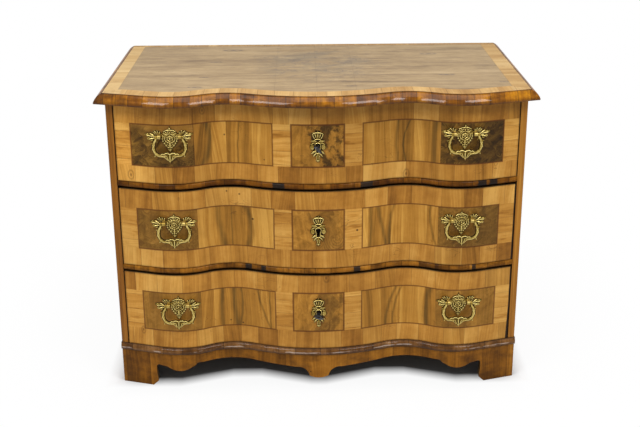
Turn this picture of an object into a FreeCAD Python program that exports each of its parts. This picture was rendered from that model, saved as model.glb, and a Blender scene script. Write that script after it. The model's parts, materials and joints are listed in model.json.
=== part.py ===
import FreeCAD, Part
import math
import os

from FreeCAD import Vector

# Serpentine-front commode with three long drawers. Millimetres, +Z up, front towards -Y.
# Plan coordinates while modelling: X from the middle of the case, Y from the line through
# the two front corners of the case, Z from the floor. `save` moves every piece into the
# part's own frame, whose origin is the bottom centre of the whole part.

# ---------------------------------------------------------------- driving dimensions
total_height = 820.0
case_width = 1080.0
case_depth = 580.0            # front corner to the back of the sides
side_thick = 20.0
back_thick = 12.0
back_plank_count = 3
stile_round_outer = 5.0
stile_round_inner = 3.0

# serpentine plan line of the drawer faces, depths measured forward of the corners
swell_depth = 55.0            # middle swell
hollow_depth = 8.0
peak_depth = 44.0             # swells that carry the handles
peak_inset = 172.0            # highest point of a side swell, in from the corner
hollow_share = 0.625          # place of a hollow between the middle and that point
hollow_radius = 140.0
peak_outer_radius = 210.0

plinth_height = 100.0
plinth_thick = 22.0
base_height = 20.5
opening_parts = {"upper": 413, "middle": 434, "lower": 434}      # how the openings share the height
rail_thick = 17.0
rail_depth = 60.0             # back edge of a rail behind the corner line
rail_proud = 2.0

top_thick = 25.0
top_overhang = 26.0
top_back_overhang = 11.0
top_edge_depth = 22.0         # depth of the edge moulding, seen from above
top_edge_swell = 3.6          # how far its face swells beyond the slant from lip to top
top_lip = 3.5
top_rear_round = 12.0
veneer_thick = 1.5
banding_width = 48.0

base_front_proud = 6.0
base_side_proud = 1.5
base_moulding_depth = 12.0

# bracket feet and the scalloped apron, heights above the floor
foot_width = 84.0             # on the floor
foot_knee = 99.0              # width of a foot where it is widest
foot_knee_height = 15.0
foot_neck = 96.0              # width of a foot where it meets the apron
neck_round = 8.0
apron_neck_height = 62.0
lobe_beyond_peak = 11.0       # middle of a lobe, outside the highest point of the swell
lobe_half = 34.0
lobe_height = 50.5
lobe_shoulder = 4.0           # rise beside a lobe
arch_inset = 14.0             # the arch reaches its height this far inside a lobe
arch_height = 73.0
arch_start_height = 62.5
pendant_half = 62.0
pendant_shoulder = 26.0
pendant_shoulder_height = 38.0
pendant_height = 31.0
side_arch_height = 71.0
side_arch_run = 36.0
rear_foot_width = 88.0
rear_foot_taper = 10.0        # how much narrower a rear bracket is on the floor
rear_foot_taper_height = 40.0
rear_foot_wing = 30.0         # reach of its curved shoulder under the bottom board
block_size = 40.0

# drawers
drawer_gap = 1.8              # each side of a drawer
head_gap = 4.5                # above a drawer front
run_clearance = 0.3           # under a drawer
front_thick = 28.0
drawer_side_thick = 12.0
drawer_side_drop = 12.0       # the sides end this far below the top of the front
drawer_back_drop = 24.0
drawer_back_thick = 12.0
stop_room = 23.0              # between the rear of a drawer box and the back boards
bottom_thick = 8.0
bottom_raise = 6.0
groove_depth = 6.0
dovetail_count = 4
dovetail_lap = 11.0           # wood left in front of the dovetails
dovetail_slope = 6.0
runner_width = 30.0

# locks and keys
key_tilts = {"upper": 43.5, "lower": 75.0}
bolt_travel = 14.0
key_full_turn = 180.0
bolt_sunk = 5.0               # top of a bolt that is fully back, below the top of the front
bolt_width = 16.0
bolt_thick = 6.0
bolt_clearance = 0.6
bolt_fork_room = 1.0          # between the fork of a bolt and the sweep of the key's bit
bolt_fork_wall = 6.0
bolt_fork_start = 4.0         # above the drill pin
lock_plate_width = 80.0
lock_plate_thick = 2.0
lock_plate_drop = 34.0        # plate below the drill pin
cap_width = 66.0
cap_drop = 28.0
cap_rise = 40.0
cap_depth = 14.0
cap_wall = 1.5
drill_pin_radius = 1.5
drill_pin_length = 18.0
key_pipe_clearance = 0.1
keyhole_radius = 5.5
keyhole_slot = 6.0
keyhole_drop = 14.5
wood_keyhole_extra = 0.5
key_shank_radius = 2.9
key_bore_extra = 2.0          # the pipe is bored this much past the drill pin
key_collar_proud = 1.6
key_collar_start = 5.5        # behind the bow
key_collar_length = 2.5
key_bit_reach = 12.5
key_bit_thick = 4.2
key_bit_height = 6.0
key_bow_width = 27.0
key_bow_length = 22.0
key_bow_thick = 4.0
key_bow_rim = 5.0
key_bow_standoff = 18.0       # drawer face to the bow

# brass fittings
plate_thick = 2.6
plate_seat_gap = 0.15
handle_beyond_peak = 6.0
plate_half_width = 43.0
escutcheon_half_height = 41.0
pivot_rise = {"upper": 28.0, "middle": 23.5, "lower": 24.0}      # above the drill pin
pivot_standoff = 14.0         # in front of the peak of the swell
post_half = 26.0
post_shank_radius = 2.5
post_hole_clearance = 0.1
eye_radius = 5.2
eye_width = 8.0
bail_pin_radius = 1.8
bail_pin_clearance = 0.08
bail_side_gap = 0.3
bail_radius = 3.1
bail_boss = 6.5
bail_drop = 48.5              # pivots to the lowest part of the bail's bar
bud_length = 30.0
bud_radius = 7.0
bud_tilt = 20.0
nut_size = 11.0
nut_thick = 4.0
nut_recess = 3.0
post_end = 1.5                # end of a post beyond its nut

# ---------------------------------------------------------------- derived sizes
half = case_width / 2
drawer_half = half - side_thick - drawer_gap
drawer_back_y = case_depth - back_thick - stop_room
peak_x = half - peak_inset
hollow_x = hollow_share * peak_x
handle_x = peak_x + handle_beyond_peak
lobe_x = peak_x + lobe_beyond_peak
arch_end_x = lobe_x - lobe_half - arch_inset
levels = ("upper", "middle", "lower")
top_z = total_height
case_top_z = top_z - top_thick
shared_height = case_top_z - plinth_height - base_height - 2 * rail_thick
opening_height = {level: shared_height * opening_parts[level] / sum(opening_parts.values())
                  for level in levels}
opening_floor = {"lower": plinth_height + base_height}
opening_floor["middle"] = opening_floor["lower"] + opening_height["lower"] + rail_thick
opening_floor["upper"] = opening_floor["middle"] + opening_height["middle"] + rail_thick

inner_face_y = -swell_depth + front_thick      # inside of a drawer front at the middle
key_reach = swell_depth + key_bow_standoff + key_bow_length
back_reach = case_depth + top_back_overhang
front_reach = max(swell_depth + top_overhang, key_reach)
frame_shift = Vector(0, (front_reach - back_reach) / 2, 0)


def floor_of(level):
    """Underside of a drawer."""
    return opening_floor[level] + run_clearance


def front_height(level):
    return opening_height[level] - run_clearance - head_gap


def key_z(level):
    """Height of the drill pin: the middle height of the drawer front."""
    return floor_of(level) + front_height(level) / 2


def save(name, shape):
    moved = shape.copy()
    moved.translate(frame_shift)
    moved.exportStep(os.path.join("parts", name + ".step"))


def box(x0, x1, y0, y1, z0, z1):
    return Part.makeBox(x1 - x0, y1 - y0, z1 - z0, Vector(x0, y0, z0))


def rod(radius, start, end):
    """Round bar between two points."""
    along = end - start
    return Part.makeCylinder(radius, along.Length, start, along)


def mirrored(shape):
    return shape.mirror(Vector(0, 0, 0), Vector(1, 0, 0))


def fused(shapes):
    return shapes[0].multiFuse(shapes[1:]).removeSplitter()


# ---------------------------------------------------------------- serpentine line
class Bend:
    """One round stretch of the plan line. `side` is 1 where it swells forward, -1 where
    it is hollow; `start` and `end` are angles about its centre, in radians."""

    def __init__(self, centre, radius, side, start, end):
        self.centre = centre
        self.radius = radius
        self.side = side
        self.start = start
        self.end = end

    def point(self, angle, forward, z=0.0):
        reach = self.radius + self.side * forward
        return self.centre + Vector(reach * math.cos(angle), reach * math.sin(angle), z)


def angle_to(centre, point):
    return math.atan2(point.y - centre.y, point.x - centre.x)


def right_half_bends():
    """Round stretches from the middle of the front to the right, each tangent to the next."""
    fall = swell_depth - hollow_depth
    middle_radius = (hollow_x ** 2 + fall ** 2) / (2 * fall) - hollow_radius
    rise = peak_depth - hollow_depth
    run = peak_x - hollow_x
    peak_inner_radius = (run ** 2 + rise ** 2) / (2 * rise) - hollow_radius
    middle = Vector(0, -swell_depth + middle_radius, 0)
    hollow = Vector(hollow_x, -hollow_depth - hollow_radius, 0)
    inner = Vector(peak_x, -peak_depth + peak_inner_radius, 0)
    outer = Vector(peak_x, -peak_depth + peak_outer_radius, 0)
    down = -math.pi / 2
    corner = Vector(half, 0, 0)
    swing = math.acos(peak_outer_radius / (corner - outer).Length)
    return [
        Bend(middle, middle_radius, 1, down, angle_to(middle, hollow)),
        Bend(hollow, hollow_radius, -1, angle_to(hollow, middle), angle_to(hollow, inner)),
        Bend(inner, peak_inner_radius, 1, angle_to(inner, hollow), down),
        Bend(outer, peak_outer_radius, 1, down, angle_to(outer, corner) - swing),
    ]


bends = right_half_bends()
last_bend = bends[-1]
end_normal = Vector(math.cos(last_bend.end), math.sin(last_bend.end), 0)
end_direction = Vector(-end_normal.y, end_normal.x, 0)
end_slope = end_direction.y / end_direction.x
line_reach = 60.0             # how far the straight ends are drawn past the corners


def line_ends(forward):
    """Start and drawn end of the straight stretch at the right corner."""
    start = last_bend.point(last_bend.end, forward)
    corner = Vector(half, 0, 0) + end_normal * forward
    return start, corner + end_direction * line_reach


def front_edges(forward):
    """Edges of the plan line, from left to right, moved forward by a distance."""
    right = []
    for bend in bends:
        first = bend.point(bend.start, forward)
        middle = bend.point((bend.start + bend.end) / 2, forward)
        last = bend.point(bend.end, forward)
        right.append(Part.Arc(first, middle, last).toShape())
    right.append(Part.makeLine(*line_ends(forward)))
    left = [mirrored(edge) for edge in reversed(right)]
    return left + right


def outline_end(forward):
    return line_ends(forward)[1]


def flip(point):
    return Vector(-point.x, point.y, point.z)


def band(forward, behind, z0, z1, half_width):
    """Upright serpentine board between two parallel plan lines."""
    near = outline_end(forward)
    far = outline_end(behind)
    edges = front_edges(forward) + [Part.makeLine(near, far)]
    edges += list(reversed(front_edges(behind)))
    edges.append(Part.makeLine(flip(far), flip(near)))
    return extruded(edges, z0, z1).common(slice_box(half_width, z0, z1))


def slab(forward, rear_y, z0, z1, half_width):
    """Level board with a serpentine front edge and a straight back edge."""
    near = outline_end(forward)
    corner = Vector(near.x, rear_y, 0)
    edges = front_edges(forward)
    edges.append(Part.makeLine(near, corner))
    edges.append(Part.makeLine(corner, flip(corner)))
    edges.append(Part.makeLine(flip(corner), flip(near)))
    return extruded(edges, z0, z1).common(slice_box(half_width, z0, z1))


def extruded(edges, z0, z1):
    face = Part.Face(Part.Wire(edges))
    face.translate(Vector(0, 0, z0))
    return face.extrude(Vector(0, 0, z1 - z0))


def slice_box(half_width, z0, z1):
    far = 2 * case_depth
    return box(-half_width, half_width, -far, far, z0, z1)


# ---------------------------------------------------------------- mouldings
def profile_face(profile, place):
    """Face from a list of (forward, height) corners; an entry of two pairs is an arc
    through the first to the second. `place` turns a pair into a point in space."""
    edges = []
    here = profile[0]
    for step in profile[1:] + [profile[0]]:
        if isinstance(step[0], tuple):
            through, there = step
            edges.append(Part.Arc(place(*here), place(*through), place(*there)).toShape())
        else:
            there = step
            edges.append(Part.makeLine(place(*here), place(*there)))
        here = there
    return Part.Face(Part.Wire(edges))


def swept_front(profile):
    """A profile carried along the whole serpentine front."""
    pieces = []
    for bend in bends:
        face = profile_face(profile, lambda forward, z: bend.point(bend.start, forward, z))
        turn = math.degrees(bend.end - bend.start)
        pieces.append(face.revolve(bend.centre, Vector(0, 0, 1), turn))
    start = last_bend.point(last_bend.end, 0)
    face = profile_face(profile, lambda forward, z: start + end_normal * forward + Vector(0, 0, z))
    length = (outline_end(0) - start).Length
    pieces.append(face.extrude(end_direction * length))
    return fused(pieces + [mirrored(piece) for piece in pieces])


def swept_side(profile, rear_y):
    """The same profile run straight back along the right-hand side."""
    face = profile_face(profile, lambda forward, z: Vector(half + forward, -line_reach, z))
    return face.extrude(Vector(0, rear_y + line_reach, 0))


def mitre_regions():
    """Upright prisms in front of, and to the right of, the mitre planes. A mitre runs
    through the case corner and halves the angle there, so it serves every moulding."""
    fall = math.sqrt(1 + end_slope ** 2) - end_slope
    meet = Vector(0, half * fall, 0)
    out = Vector(half + 3 * line_reach, -3 * line_reach * fall, 0)
    far = 3 * case_depth
    front = [meet, out, Vector(out.x, -far, 0), Vector(-out.x, -far, 0), flip(out), meet]
    side = [meet, out, Vector(out.x, far, 0), Vector(0, far, 0), meet]
    regions = []
    for corners in (front, side):
        face = Part.Face(Part.makePolygon(corners))
        regions.append(face.extrude(Vector(0, 0, top_z + 1)))
    return regions


front_region, right_region = mitre_regions()


def mitred_set(front_profile, side_profile, rear_y):
    """Front, left and right lengths of a moulding, mitred at the corners."""
    front = swept_front(front_profile).common(front_region)
    right = swept_side(side_profile, rear_y).common(right_region)
    return front, mirrored(right), right


# ---------------------------------------------------------------- case
def case_side():
    """Right-hand side; its front edge follows the serpentine and is rounded."""
    inner = half - side_thick
    corners = [
        Vector(inner, -side_thick * end_slope, plinth_height),
        Vector(half, 0, plinth_height),
        Vector(half, case_depth, plinth_height),
        Vector(inner, case_depth, plinth_height),
    ]
    board = Part.Face(Part.makePolygon(corners + corners[:1]))
    board = board.extrude(Vector(0, 0, case_top_z - plinth_height))

    def upright_at(corner):
        def touches(edge):
            ends = [v.Point for v in edge.Vertexes]
            return all(abs(p.x - corner.x) + abs(p.y - corner.y) < 0.01 for p in ends)
        return [edge for edge in board.Edges if touches(edge)]

    board = board.makeFillet(stile_round_outer, upright_at(corners[1]))
    return board.makeFillet(stile_round_inner, upright_at(corners[0]))


def back_planks():
    """Horizontal planks between the sides, edge to edge."""
    inner = half - side_thick
    height = (case_top_z - plinth_height) / back_plank_count
    planks = []
    for i in range(back_plank_count):
        low = plinth_height + i * height
        planks.append(box(-inner, inner, case_depth - back_thick, case_depth, low, low + height))
    return Part.makeCompound(planks)


def divider_rail(z0):
    """Rail between two drawers, with a half-round nose that stands proud of the drawers."""
    inner = half - side_thick
    nose = rail_thick / 2
    root = rail_proud - nose
    middle_z = z0 + nose
    profile = [(root, z0), ((rail_proud, middle_z), (root, z0 + rail_thick))]
    bead = swept_front(profile).common(slice_box(inner, z0, z0 + rail_thick))
    board = slab(root, rail_depth, z0, z0 + rail_thick, inner)
    return fused([board, bead])


def runners():
    """Strips on the sides that carry the middle and upper drawers behind the rails."""
    inner = half - side_thick
    rear = case_depth - back_thick
    strips = []
    for level in ("middle", "upper"):
        top = opening_floor[level]
        strip = box(inner - runner_width, inner, rail_depth, rear, top - rail_thick, top)
        strips += [strip, mirrored(strip)]
    return Part.makeCompound(strips)


def stops():
    """Blocks at the back of each runner that the closed drawer meets."""
    inner = half - side_thick
    rear = case_depth - back_thick
    blocks = []
    for level in levels:
        low = opening_floor[level]
        block = box(inner - runner_width, inner, drawer_back_y + run_clearance, rear,
                    low, low + runner_width)
        blocks += [block, mirrored(block)]
    return Part.makeCompound(blocks)


def bolt_mortise(level):
    """Space above a drawer for its bolt."""
    side = bolt_width / 2 + 2 * bolt_clearance
    top = opening_floor[level] + opening_height[level] + bolt_travel
    y_front = inner_face_y - bolt_thick - 3 * bolt_clearance
    return box(-side, side, y_front, inner_face_y + bolt_clearance, floor_of(level), top)


def make_case():
    inner = half - side_thick
    right = case_side()
    save("side_right", right)
    save("side_left", mirrored(right))
    save("back_boards", back_planks())
    save("drawer_runners", runners())
    save("drawer_stops", stops())
    rear = case_depth - back_thick
    bottom_front = -base_moulding_depth + base_front_proud
    save("bottom_board", slab(bottom_front, rear, plinth_height, opening_floor["lower"], inner))
    upper_rail = divider_rail(opening_floor["upper"] - rail_thick)
    lower_rail = divider_rail(opening_floor["middle"] - rail_thick)
    save("divider_rail_upper", upper_rail.cut(bolt_mortise("middle")))
    save("divider_rail_lower", lower_rail.cut(bolt_mortise("lower")))


def make_top():
    rear = case_depth + top_back_overhang
    inset = top_overhang - top_edge_depth
    board_top = top_z - veneer_thick
    board = slab(inset, rear, case_top_z, board_top, half + inset)
    save("top_board", board.cut(bolt_mortise("upper")))

    sheet = slab(inset, rear, board_top, top_z, half + inset)
    field_half = half + inset - banding_width
    field = slab(inset - banding_width, rear - banding_width, board_top, top_z, field_half)
    save("top_veneer_field", field)
    save("top_crossbanding", sheet.cut(field))

    # the face swells in an arc from the lip to the flat of the top
    lip_z = case_top_z + top_lip
    rise = top_z - lip_z
    slant = math.hypot(top_edge_depth, rise)
    through = (inset + top_edge_depth / 2 + top_edge_swell * rise / slant,
               lip_z + rise / 2 + top_edge_swell * top_edge_depth / slant)
    profile = [(inset, case_top_z), (top_overhang, case_top_z), (top_overhang, lip_z),
               (through, (inset, top_z))]
    front, left, right = mitred_set(profile, profile, rear)
    right = right.cut(rear_corner_waste(rear))
    save("top_moulding_front", front)
    save("top_moulding_left", mirrored(right))
    save("top_moulding_right", right)


def rear_corner_waste(rear):
    """What rounding the top's rear right corner takes away."""
    x, y, size = half + top_overhang, rear, top_rear_round
    square = box(x - size, x + size, y - size, y + size, case_top_z, top_z)
    keep = rod(size, Vector(x - size, y - size, case_top_z), Vector(x - size, y - size, top_z))
    return square.cut(keep)


# ---------------------------------------------------------------- base
def base_profile(proud):
    """Flat back, a small top fillet and a convex face that is fullest low down."""
    back = proud - base_moulding_depth
    top = plinth_height + base_height
    step = top - base_height * 0.2
    fullest = (proud, plinth_height + base_height * 0.35)
    return [(back, plinth_height), (proud * 0.4, plinth_height),
            (fullest, (proud * 0.3, step)), (proud * 0.3, top), (back, top)]


def side_base_profile():
    """The same face laid on the outside of the case side."""
    top = plinth_height + base_height
    fullest = (base_side_proud, plinth_height + base_height * 0.35)
    return [(0.0, plinth_height), (base_side_proud * 0.5, plinth_height),
            (fullest, (base_side_proud * 0.4, top))]


def arc_or_line(points):
    """Edges in the plane of the front from (x, z) corners, given as for a profile."""
    return profile_face(points, lambda x, z: Vector(x, 0, z))


def apron_opening():
    """What is sawn out of the front plinth: feet, lobes, arches and the middle pendant."""
    foot_x = half - foot_width
    neck_x = half - foot_neck
    lobe_in = lobe_x - lobe_half
    lobe_out = lobe_x + lobe_half
    shoulder = apron_neck_height + lobe_shoulder
    arch_half = (arch_end_x + pendant_half) / 2
    flank = pendant_shoulder + (pendant_half - pendant_shoulder) * 0.3
    flank_height = (pendant_shoulder_height + 3 * arch_start_height) / 4
    knee_x = half - foot_knee
    corner = neck_round * (1 - math.sqrt(0.5))
    right = [
        (0, -1),
        (foot_x, -1),
        (foot_x, 0),
        (knee_x, foot_knee_height),
        (neck_x, shoulder - 3 * neck_round),
        (neck_x, shoulder - neck_round),
        ((neck_x - corner, shoulder - corner), (neck_x - neck_round, shoulder)),
        (lobe_out, apron_neck_height),
        ((lobe_x, lobe_height), (lobe_in, apron_neck_height)),
        ((arch_end_x + arch_inset * 0.3, (apron_neck_height + arch_height) / 2),
         (arch_end_x, arch_height)),
        ((arch_half, arch_height - lobe_shoulder / 2), (pendant_half, arch_start_height)),
        ((flank, flank_height), (pendant_shoulder, pendant_shoulder_height)),
        ((pendant_shoulder / 2, pendant_height * 1.05), (0, pendant_height)),
    ]
    face = arc_or_line(right)
    cutter = face.extrude(Vector(0, 4 * swell_depth, 0))
    cutter.translate(Vector(0, -3 * swell_depth, 0))
    return cutter.fuse(mirrored(cutter)).removeSplitter()


def side_opening():
    """What is sawn out of the right-hand plinth between its front and rear foot."""
    front, rear = foot_width, case_depth - foot_width
    knee = foot_knee - foot_width
    neck_height = foot_knee_height + 2 * neck_round
    outline = [
        (front, -1), (rear, -1), (rear, 0), (rear - knee, foot_knee_height),
        (rear - knee, neck_height),
        ((rear - knee - side_arch_run * 0.3, apron_neck_height),
         (rear - knee - side_arch_run, side_arch_height)),
        (front + knee + side_arch_run, side_arch_height),
        ((front + knee + side_arch_run * 0.3, apron_neck_height),
         (front + knee, neck_height)),
        (front + knee, foot_knee_height), (front, 0),
    ]
    face = profile_face(outline, lambda y, z: Vector(half - 2 * plinth_thick, y, z))
    return face.extrude(Vector(3 * plinth_thick, 0, 0))


def rear_feet():
    """Bracket boards across the back, one at each corner."""
    outer = half - plinth_thick
    inner = outer - rear_foot_width
    cut_x = inner + rear_foot_taper
    taper = rear_foot_taper_height
    outline = [(outer, 0), (outer, plinth_height), (inner - rear_foot_wing, plinth_height),
               ((inner - rear_foot_wing * 0.27, plinth_height - (plinth_height - taper) * 0.3),
                (inner, taper)),
               ((inner + rear_foot_taper * 0.3, taper / 2), (cut_x, 0))]
    face = profile_face(outline, lambda x, z: Vector(x, case_depth, z))
    foot = face.extrude(Vector(0, -side_thick, 0))
    return Part.makeCompound([foot, mirrored(foot)])


def foot_blocks():
    """Square blocks in the corners, which carry the weight of the case."""
    outer = half - plinth_thick
    inner_corner_y = plinth_thick * (math.sqrt(1 + end_slope ** 2) - end_slope)
    blocks = []
    for low_y in (inner_corner_y, case_depth - side_thick - block_size):
        block = box(outer - block_size, outer, low_y, low_y + block_size, 0, plinth_height)
        blocks += [block, mirrored(block)]
    return Part.makeCompound(blocks)


def make_base():
    fronts = mitred_set(base_profile(base_front_proud), side_base_profile(), case_depth)
    right_side = case_side()
    front = fronts[0].cut(right_side).cut(mirrored(right_side))
    flush = slice_box(half + base_side_proud, plinth_height, plinth_height + base_height)
    save("base_moulding_front", front.common(flush))
    save("base_moulding_left", fronts[1])
    save("base_moulding_right", fronts[2])

    profile = [(-plinth_thick, 0), (0, 0), (0, plinth_height), (-plinth_thick, plinth_height)]
    front, left, right = mitred_set(profile, profile, case_depth)
    save("plinth_front", front.cut(apron_opening()))
    right = right.cut(side_opening())
    save("plinth_right", right)
    save("plinth_left", mirrored(right))
    save("rear_feet", rear_feet())
    save("foot_blocks", foot_blocks())


# ---------------------------------------------------------------- drawers
def dovetail_prisms(level):
    """Tails of the right-hand drawer side, cut into the inside of the front."""
    inner = drawer_half - drawer_side_thick
    tip_y = dovetail_lap - (half - drawer_half) * end_slope
    root_y = tip_y + front_thick
    height = front_height(level) - drawer_side_drop
    pitch = height / dovetail_count
    tails = []
    for i in range(dovetail_count):
        middle = floor_of(level) + (i + 0.5) * pitch
        wide = pitch * 0.3
        narrow = wide - (root_y - tip_y) / dovetail_slope
        corners = [Vector(inner, tip_y, middle - wide), Vector(inner, tip_y, middle + wide),
                   Vector(inner, root_y, middle + narrow), Vector(inner, root_y, middle - narrow)]
        face = Part.Face(Part.makePolygon(corners + corners[:1]))
        tails.append(face.extrude(Vector(drawer_side_thick, 0, 0)))
    return Part.makeCompound(tails)


def drawer_bottom(level):
    """Panel held in grooves in the sides and the front."""
    low = floor_of(level) + bottom_raise
    reach = drawer_half - drawer_side_thick + groove_depth
    return slab(groove_depth - front_thick, drawer_back_y, low, low + bottom_thick, reach)


def drawer_side(level, front):
    """Right-hand side; taking the front out of its blank leaves the dovetails on it."""
    inner = drawer_half - drawer_side_thick
    top = floor_of(level) + front_height(level) - drawer_side_drop
    blank = box(inner, drawer_half, -swell_depth, drawer_back_y, floor_of(level), top)
    pieces = blank.cut(front).cut(drawer_bottom(level)).Solids
    return max(pieces, key=lambda solid: solid.Volume)


def keyhole(level, y0, y1, extra=0.0):
    """Round hole with a slot below it, through from y0 to y1."""
    z = key_z(level)
    hole = rod(keyhole_radius + extra, Vector(0, y0, z), Vector(0, y1, z))
    side = keyhole_slot / 2 + extra
    return hole.fuse(box(-side, side, y0, y1, z - keyhole_drop - extra, z))


def lock_pocket(level):
    """Recess in the inside of the front for the lock's cap, plate, bolt and top plate."""
    z = key_z(level)
    top = floor_of(level) + front_height(level)
    side = lock_plate_width / 2
    plate = box(-side, side, inner_face_y, 0, z - lock_plate_drop, top)
    cap_side = cap_width / 2
    cap = box(-cap_side, cap_side, inner_face_y - cap_depth, 0, z - cap_drop, z + cap_rise)
    bolt_side = bolt_width / 2 + bolt_clearance
    bolt_front = inner_face_y - bolt_thick - 2 * bolt_clearance
    channel = box(-bolt_side, bolt_side, bolt_front, 0, z, top)
    lid = box(-side, side, inner_face_y - cap_depth, 0, top - lock_plate_thick, top)
    return fused([plate, cap, channel, lid])


def drawer_front(level, tails):
    low = floor_of(level)
    board = band(0, -front_thick, low, low + front_height(level), drawer_half)
    cuts = [tails, mirrored(tails), drawer_bottom(level), lock_pocket(level)]
    cuts.append(keyhole(level, -2 * swell_depth, inner_face_y, wood_keyhole_extra))
    for x in post_places():
        cuts.append(post_hole(x, level))
    for cut in cuts:
        board = board.cut(cut)
    return board


def lock_case(level):
    """Back plate, cap over the works, drill pin and the plate that caps the top edge."""
    z = key_z(level)
    top = floor_of(level) + front_height(level)
    side = lock_plate_width / 2
    plate_rear = inner_face_y + lock_plate_thick
    plate = box(-side, side, inner_face_y, plate_rear, z - lock_plate_drop, top)
    cap_side = cap_width / 2
    cap_front = inner_face_y - cap_depth
    cap = box(-cap_side, cap_side, cap_front, inner_face_y, z - cap_drop, z + cap_rise)
    room = box(-cap_side + cap_wall, cap_side - cap_wall, cap_front + cap_wall, inner_face_y,
               z - cap_drop + cap_wall, z + cap_rise - cap_wall)
    lid = box(-side, side, cap_front, inner_face_y, top - lock_plate_thick, top)
    shell = fused([plate, cap, lid]).cut(room)
    shell = shell.cut(bolt_way(level)).cut(keyhole(level, cap_front - 1, cap_front + cap_wall))
    pin = rod(drill_pin_radius, Vector(0, inner_face_y, z),
              Vector(0, inner_face_y - drill_pin_length, z))
    return shell.fuse(pin).removeSplitter()


def bolt_way(level):
    """Slot through the cap and the top plate that guides the bolt."""
    side = bolt_width / 2 + bolt_clearance
    top = floor_of(level) + front_height(level)
    y_front = inner_face_y - bolt_thick - 2 * bolt_clearance
    return box(-side, side, y_front, inner_face_y, key_z(level) + key_bit_reach, top)


def bolt_lift(level):
    """How far the bolt is raised at rest by a key that is left partly turned."""
    return bolt_travel * key_tilts.get(level, 0.0) / key_full_turn


def lock_bolt(level):
    """Upright bar with a forked tail that straddles the sweep of the key's bit."""
    z = key_z(level)
    top = floor_of(level) + front_height(level) - bolt_sunk
    y_front = inner_face_y - bolt_thick - bolt_clearance
    y_rear = inner_face_y - bolt_clearance
    side = bolt_width / 2
    bar = box(-side, side, y_front, y_rear, z + key_bit_reach, top)
    sweep = key_bit_reach + bolt_fork_room
    tail_side = sweep + bolt_fork_wall
    tail = box(-tail_side, tail_side, y_front, y_rear, z + bolt_fork_start,
               z + sweep + bolt_fork_wall)
    hollow = rod(sweep, Vector(0, y_front - 1, z), Vector(0, y_rear + 1, z))
    bolt = fused([bar, tail]).cut(hollow)
    bolt.translate(Vector(0, 0, bolt_lift(level)))
    return bolt


def key(level):
    """Pipe key: bow, shank, collar and bit, turned to where it was left."""
    z = key_z(level)
    pin_y = Vector(0, inner_face_y - 2 * bolt_clearance, z)
    bow_y = -swell_depth - key_bow_standoff
    shank = rod(key_shank_radius, pin_y, Vector(0, bow_y - 1, z))
    collar_y = bow_y + key_collar_start
    collar = rod(key_shank_radius + key_collar_proud, Vector(0, collar_y, z),
                 Vector(0, collar_y + key_collar_length, z))
    bit_y = inner_face_y - cap_depth + cap_wall + bolt_clearance
    bit = box(-key_bit_thick / 2, key_bit_thick / 2, bit_y, bit_y + key_bit_height,
              z - key_bit_reach, z)
    middle = Vector(0, bow_y - key_bow_length / 2, z)
    bow = bow_ring(middle)
    body = fused([shank, collar, bit, bow])
    bore_end = inner_face_y - drill_pin_length - key_bore_extra
    bore = rod(drill_pin_radius + key_pipe_clearance, Vector(0, inner_face_y, z),
               Vector(0, bore_end, z))
    body = body.cut(bore)
    body.rotate(Vector(0, 0, z), Vector(0, -1, 0), key_tilts[level])
    return body


def bow_ring(middle):
    """Oval ring, upright in the plane of the bit."""
    def oval(wide, long):
        big, small = max(wide, long) / 2, min(wide, long) / 2
        ellipse = Part.Ellipse(Vector(0, 0, 0), big, small)
        face = Part.Face(Part.Wire([ellipse.toShape()]))
        solid = face.extrude(Vector(0, 0, key_bow_thick))
        solid.translate(Vector(0, 0, -key_bow_thick / 2))
        solid.rotate(Vector(0, 0, 0), Vector(0, 1, 0), 90)
        if long > wide:
            solid.rotate(Vector(0, 0, 0), Vector(1, 0, 0), 90)
        return solid

    ring = oval(key_bow_width, key_bow_length)
    ring = ring.cut(oval(key_bow_width - 2 * key_bow_rim, key_bow_length - 2 * key_bow_rim))
    ring.translate(middle)
    return ring


# ---------------------------------------------------------------- brass fittings
def on_front(outline, level, x, z):
    """Cast plate with the given (x, z) outline, bent to lie on the drawer front."""
    face = profile_face(outline, lambda px, pz: Vector(px, 0, pz))
    other = mirrored(face)
    shape = face.extrude(Vector(0, -3 * swell_depth, 0))
    shape = fused([shape, other.extrude(Vector(0, -3 * swell_depth, 0))])
    shape.translate(Vector(x, swell_depth, z))
    low = floor_of(level)
    skin = band(plate_thick + plate_seat_gap, plate_seat_gap, low, low + front_height(level),
                drawer_half)
    return shape.common(skin)


def scaled(outline, size):
    """An outline given in shares of a size, as lengths."""
    if isinstance(outline, (int, float)):
        return outline * size
    return type(outline)(scaled(part, size) for part in outline)


def handle_plate_outline():
    """Right half of the crowned shield with its wings, from the pivot line, in shares of
    its half width."""
    return scaled([
        (0, 0.581), (0.037, 0.488), (0.051, 0.43),
        ((0.209, 0.441), (0.349, 0.372)),
        ((0.314, 0.279), (0.291, 0.209)),
        ((0.372, 0.163), (0.43, 0.093)),
        ((0.488, 0.209), (0.581, 0.198)),
        ((0.767, 0.326), (1, 0.244)),
        ((0.93, 0.07), (0.767, 0.012)),
        ((0.744, -0.116), (0.628, -0.151)),
        ((0.535, -0.209), (0.477, -0.279)),
        (0.465, -0.384), ((0.36, -0.453), (0.291, -0.616)),
        (0.209, -0.651), ((0.163, -0.791), (0.14, -0.907)),
        ((0.093, -0.977), (0, -0.988)),
    ], plate_half_width)


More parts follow.
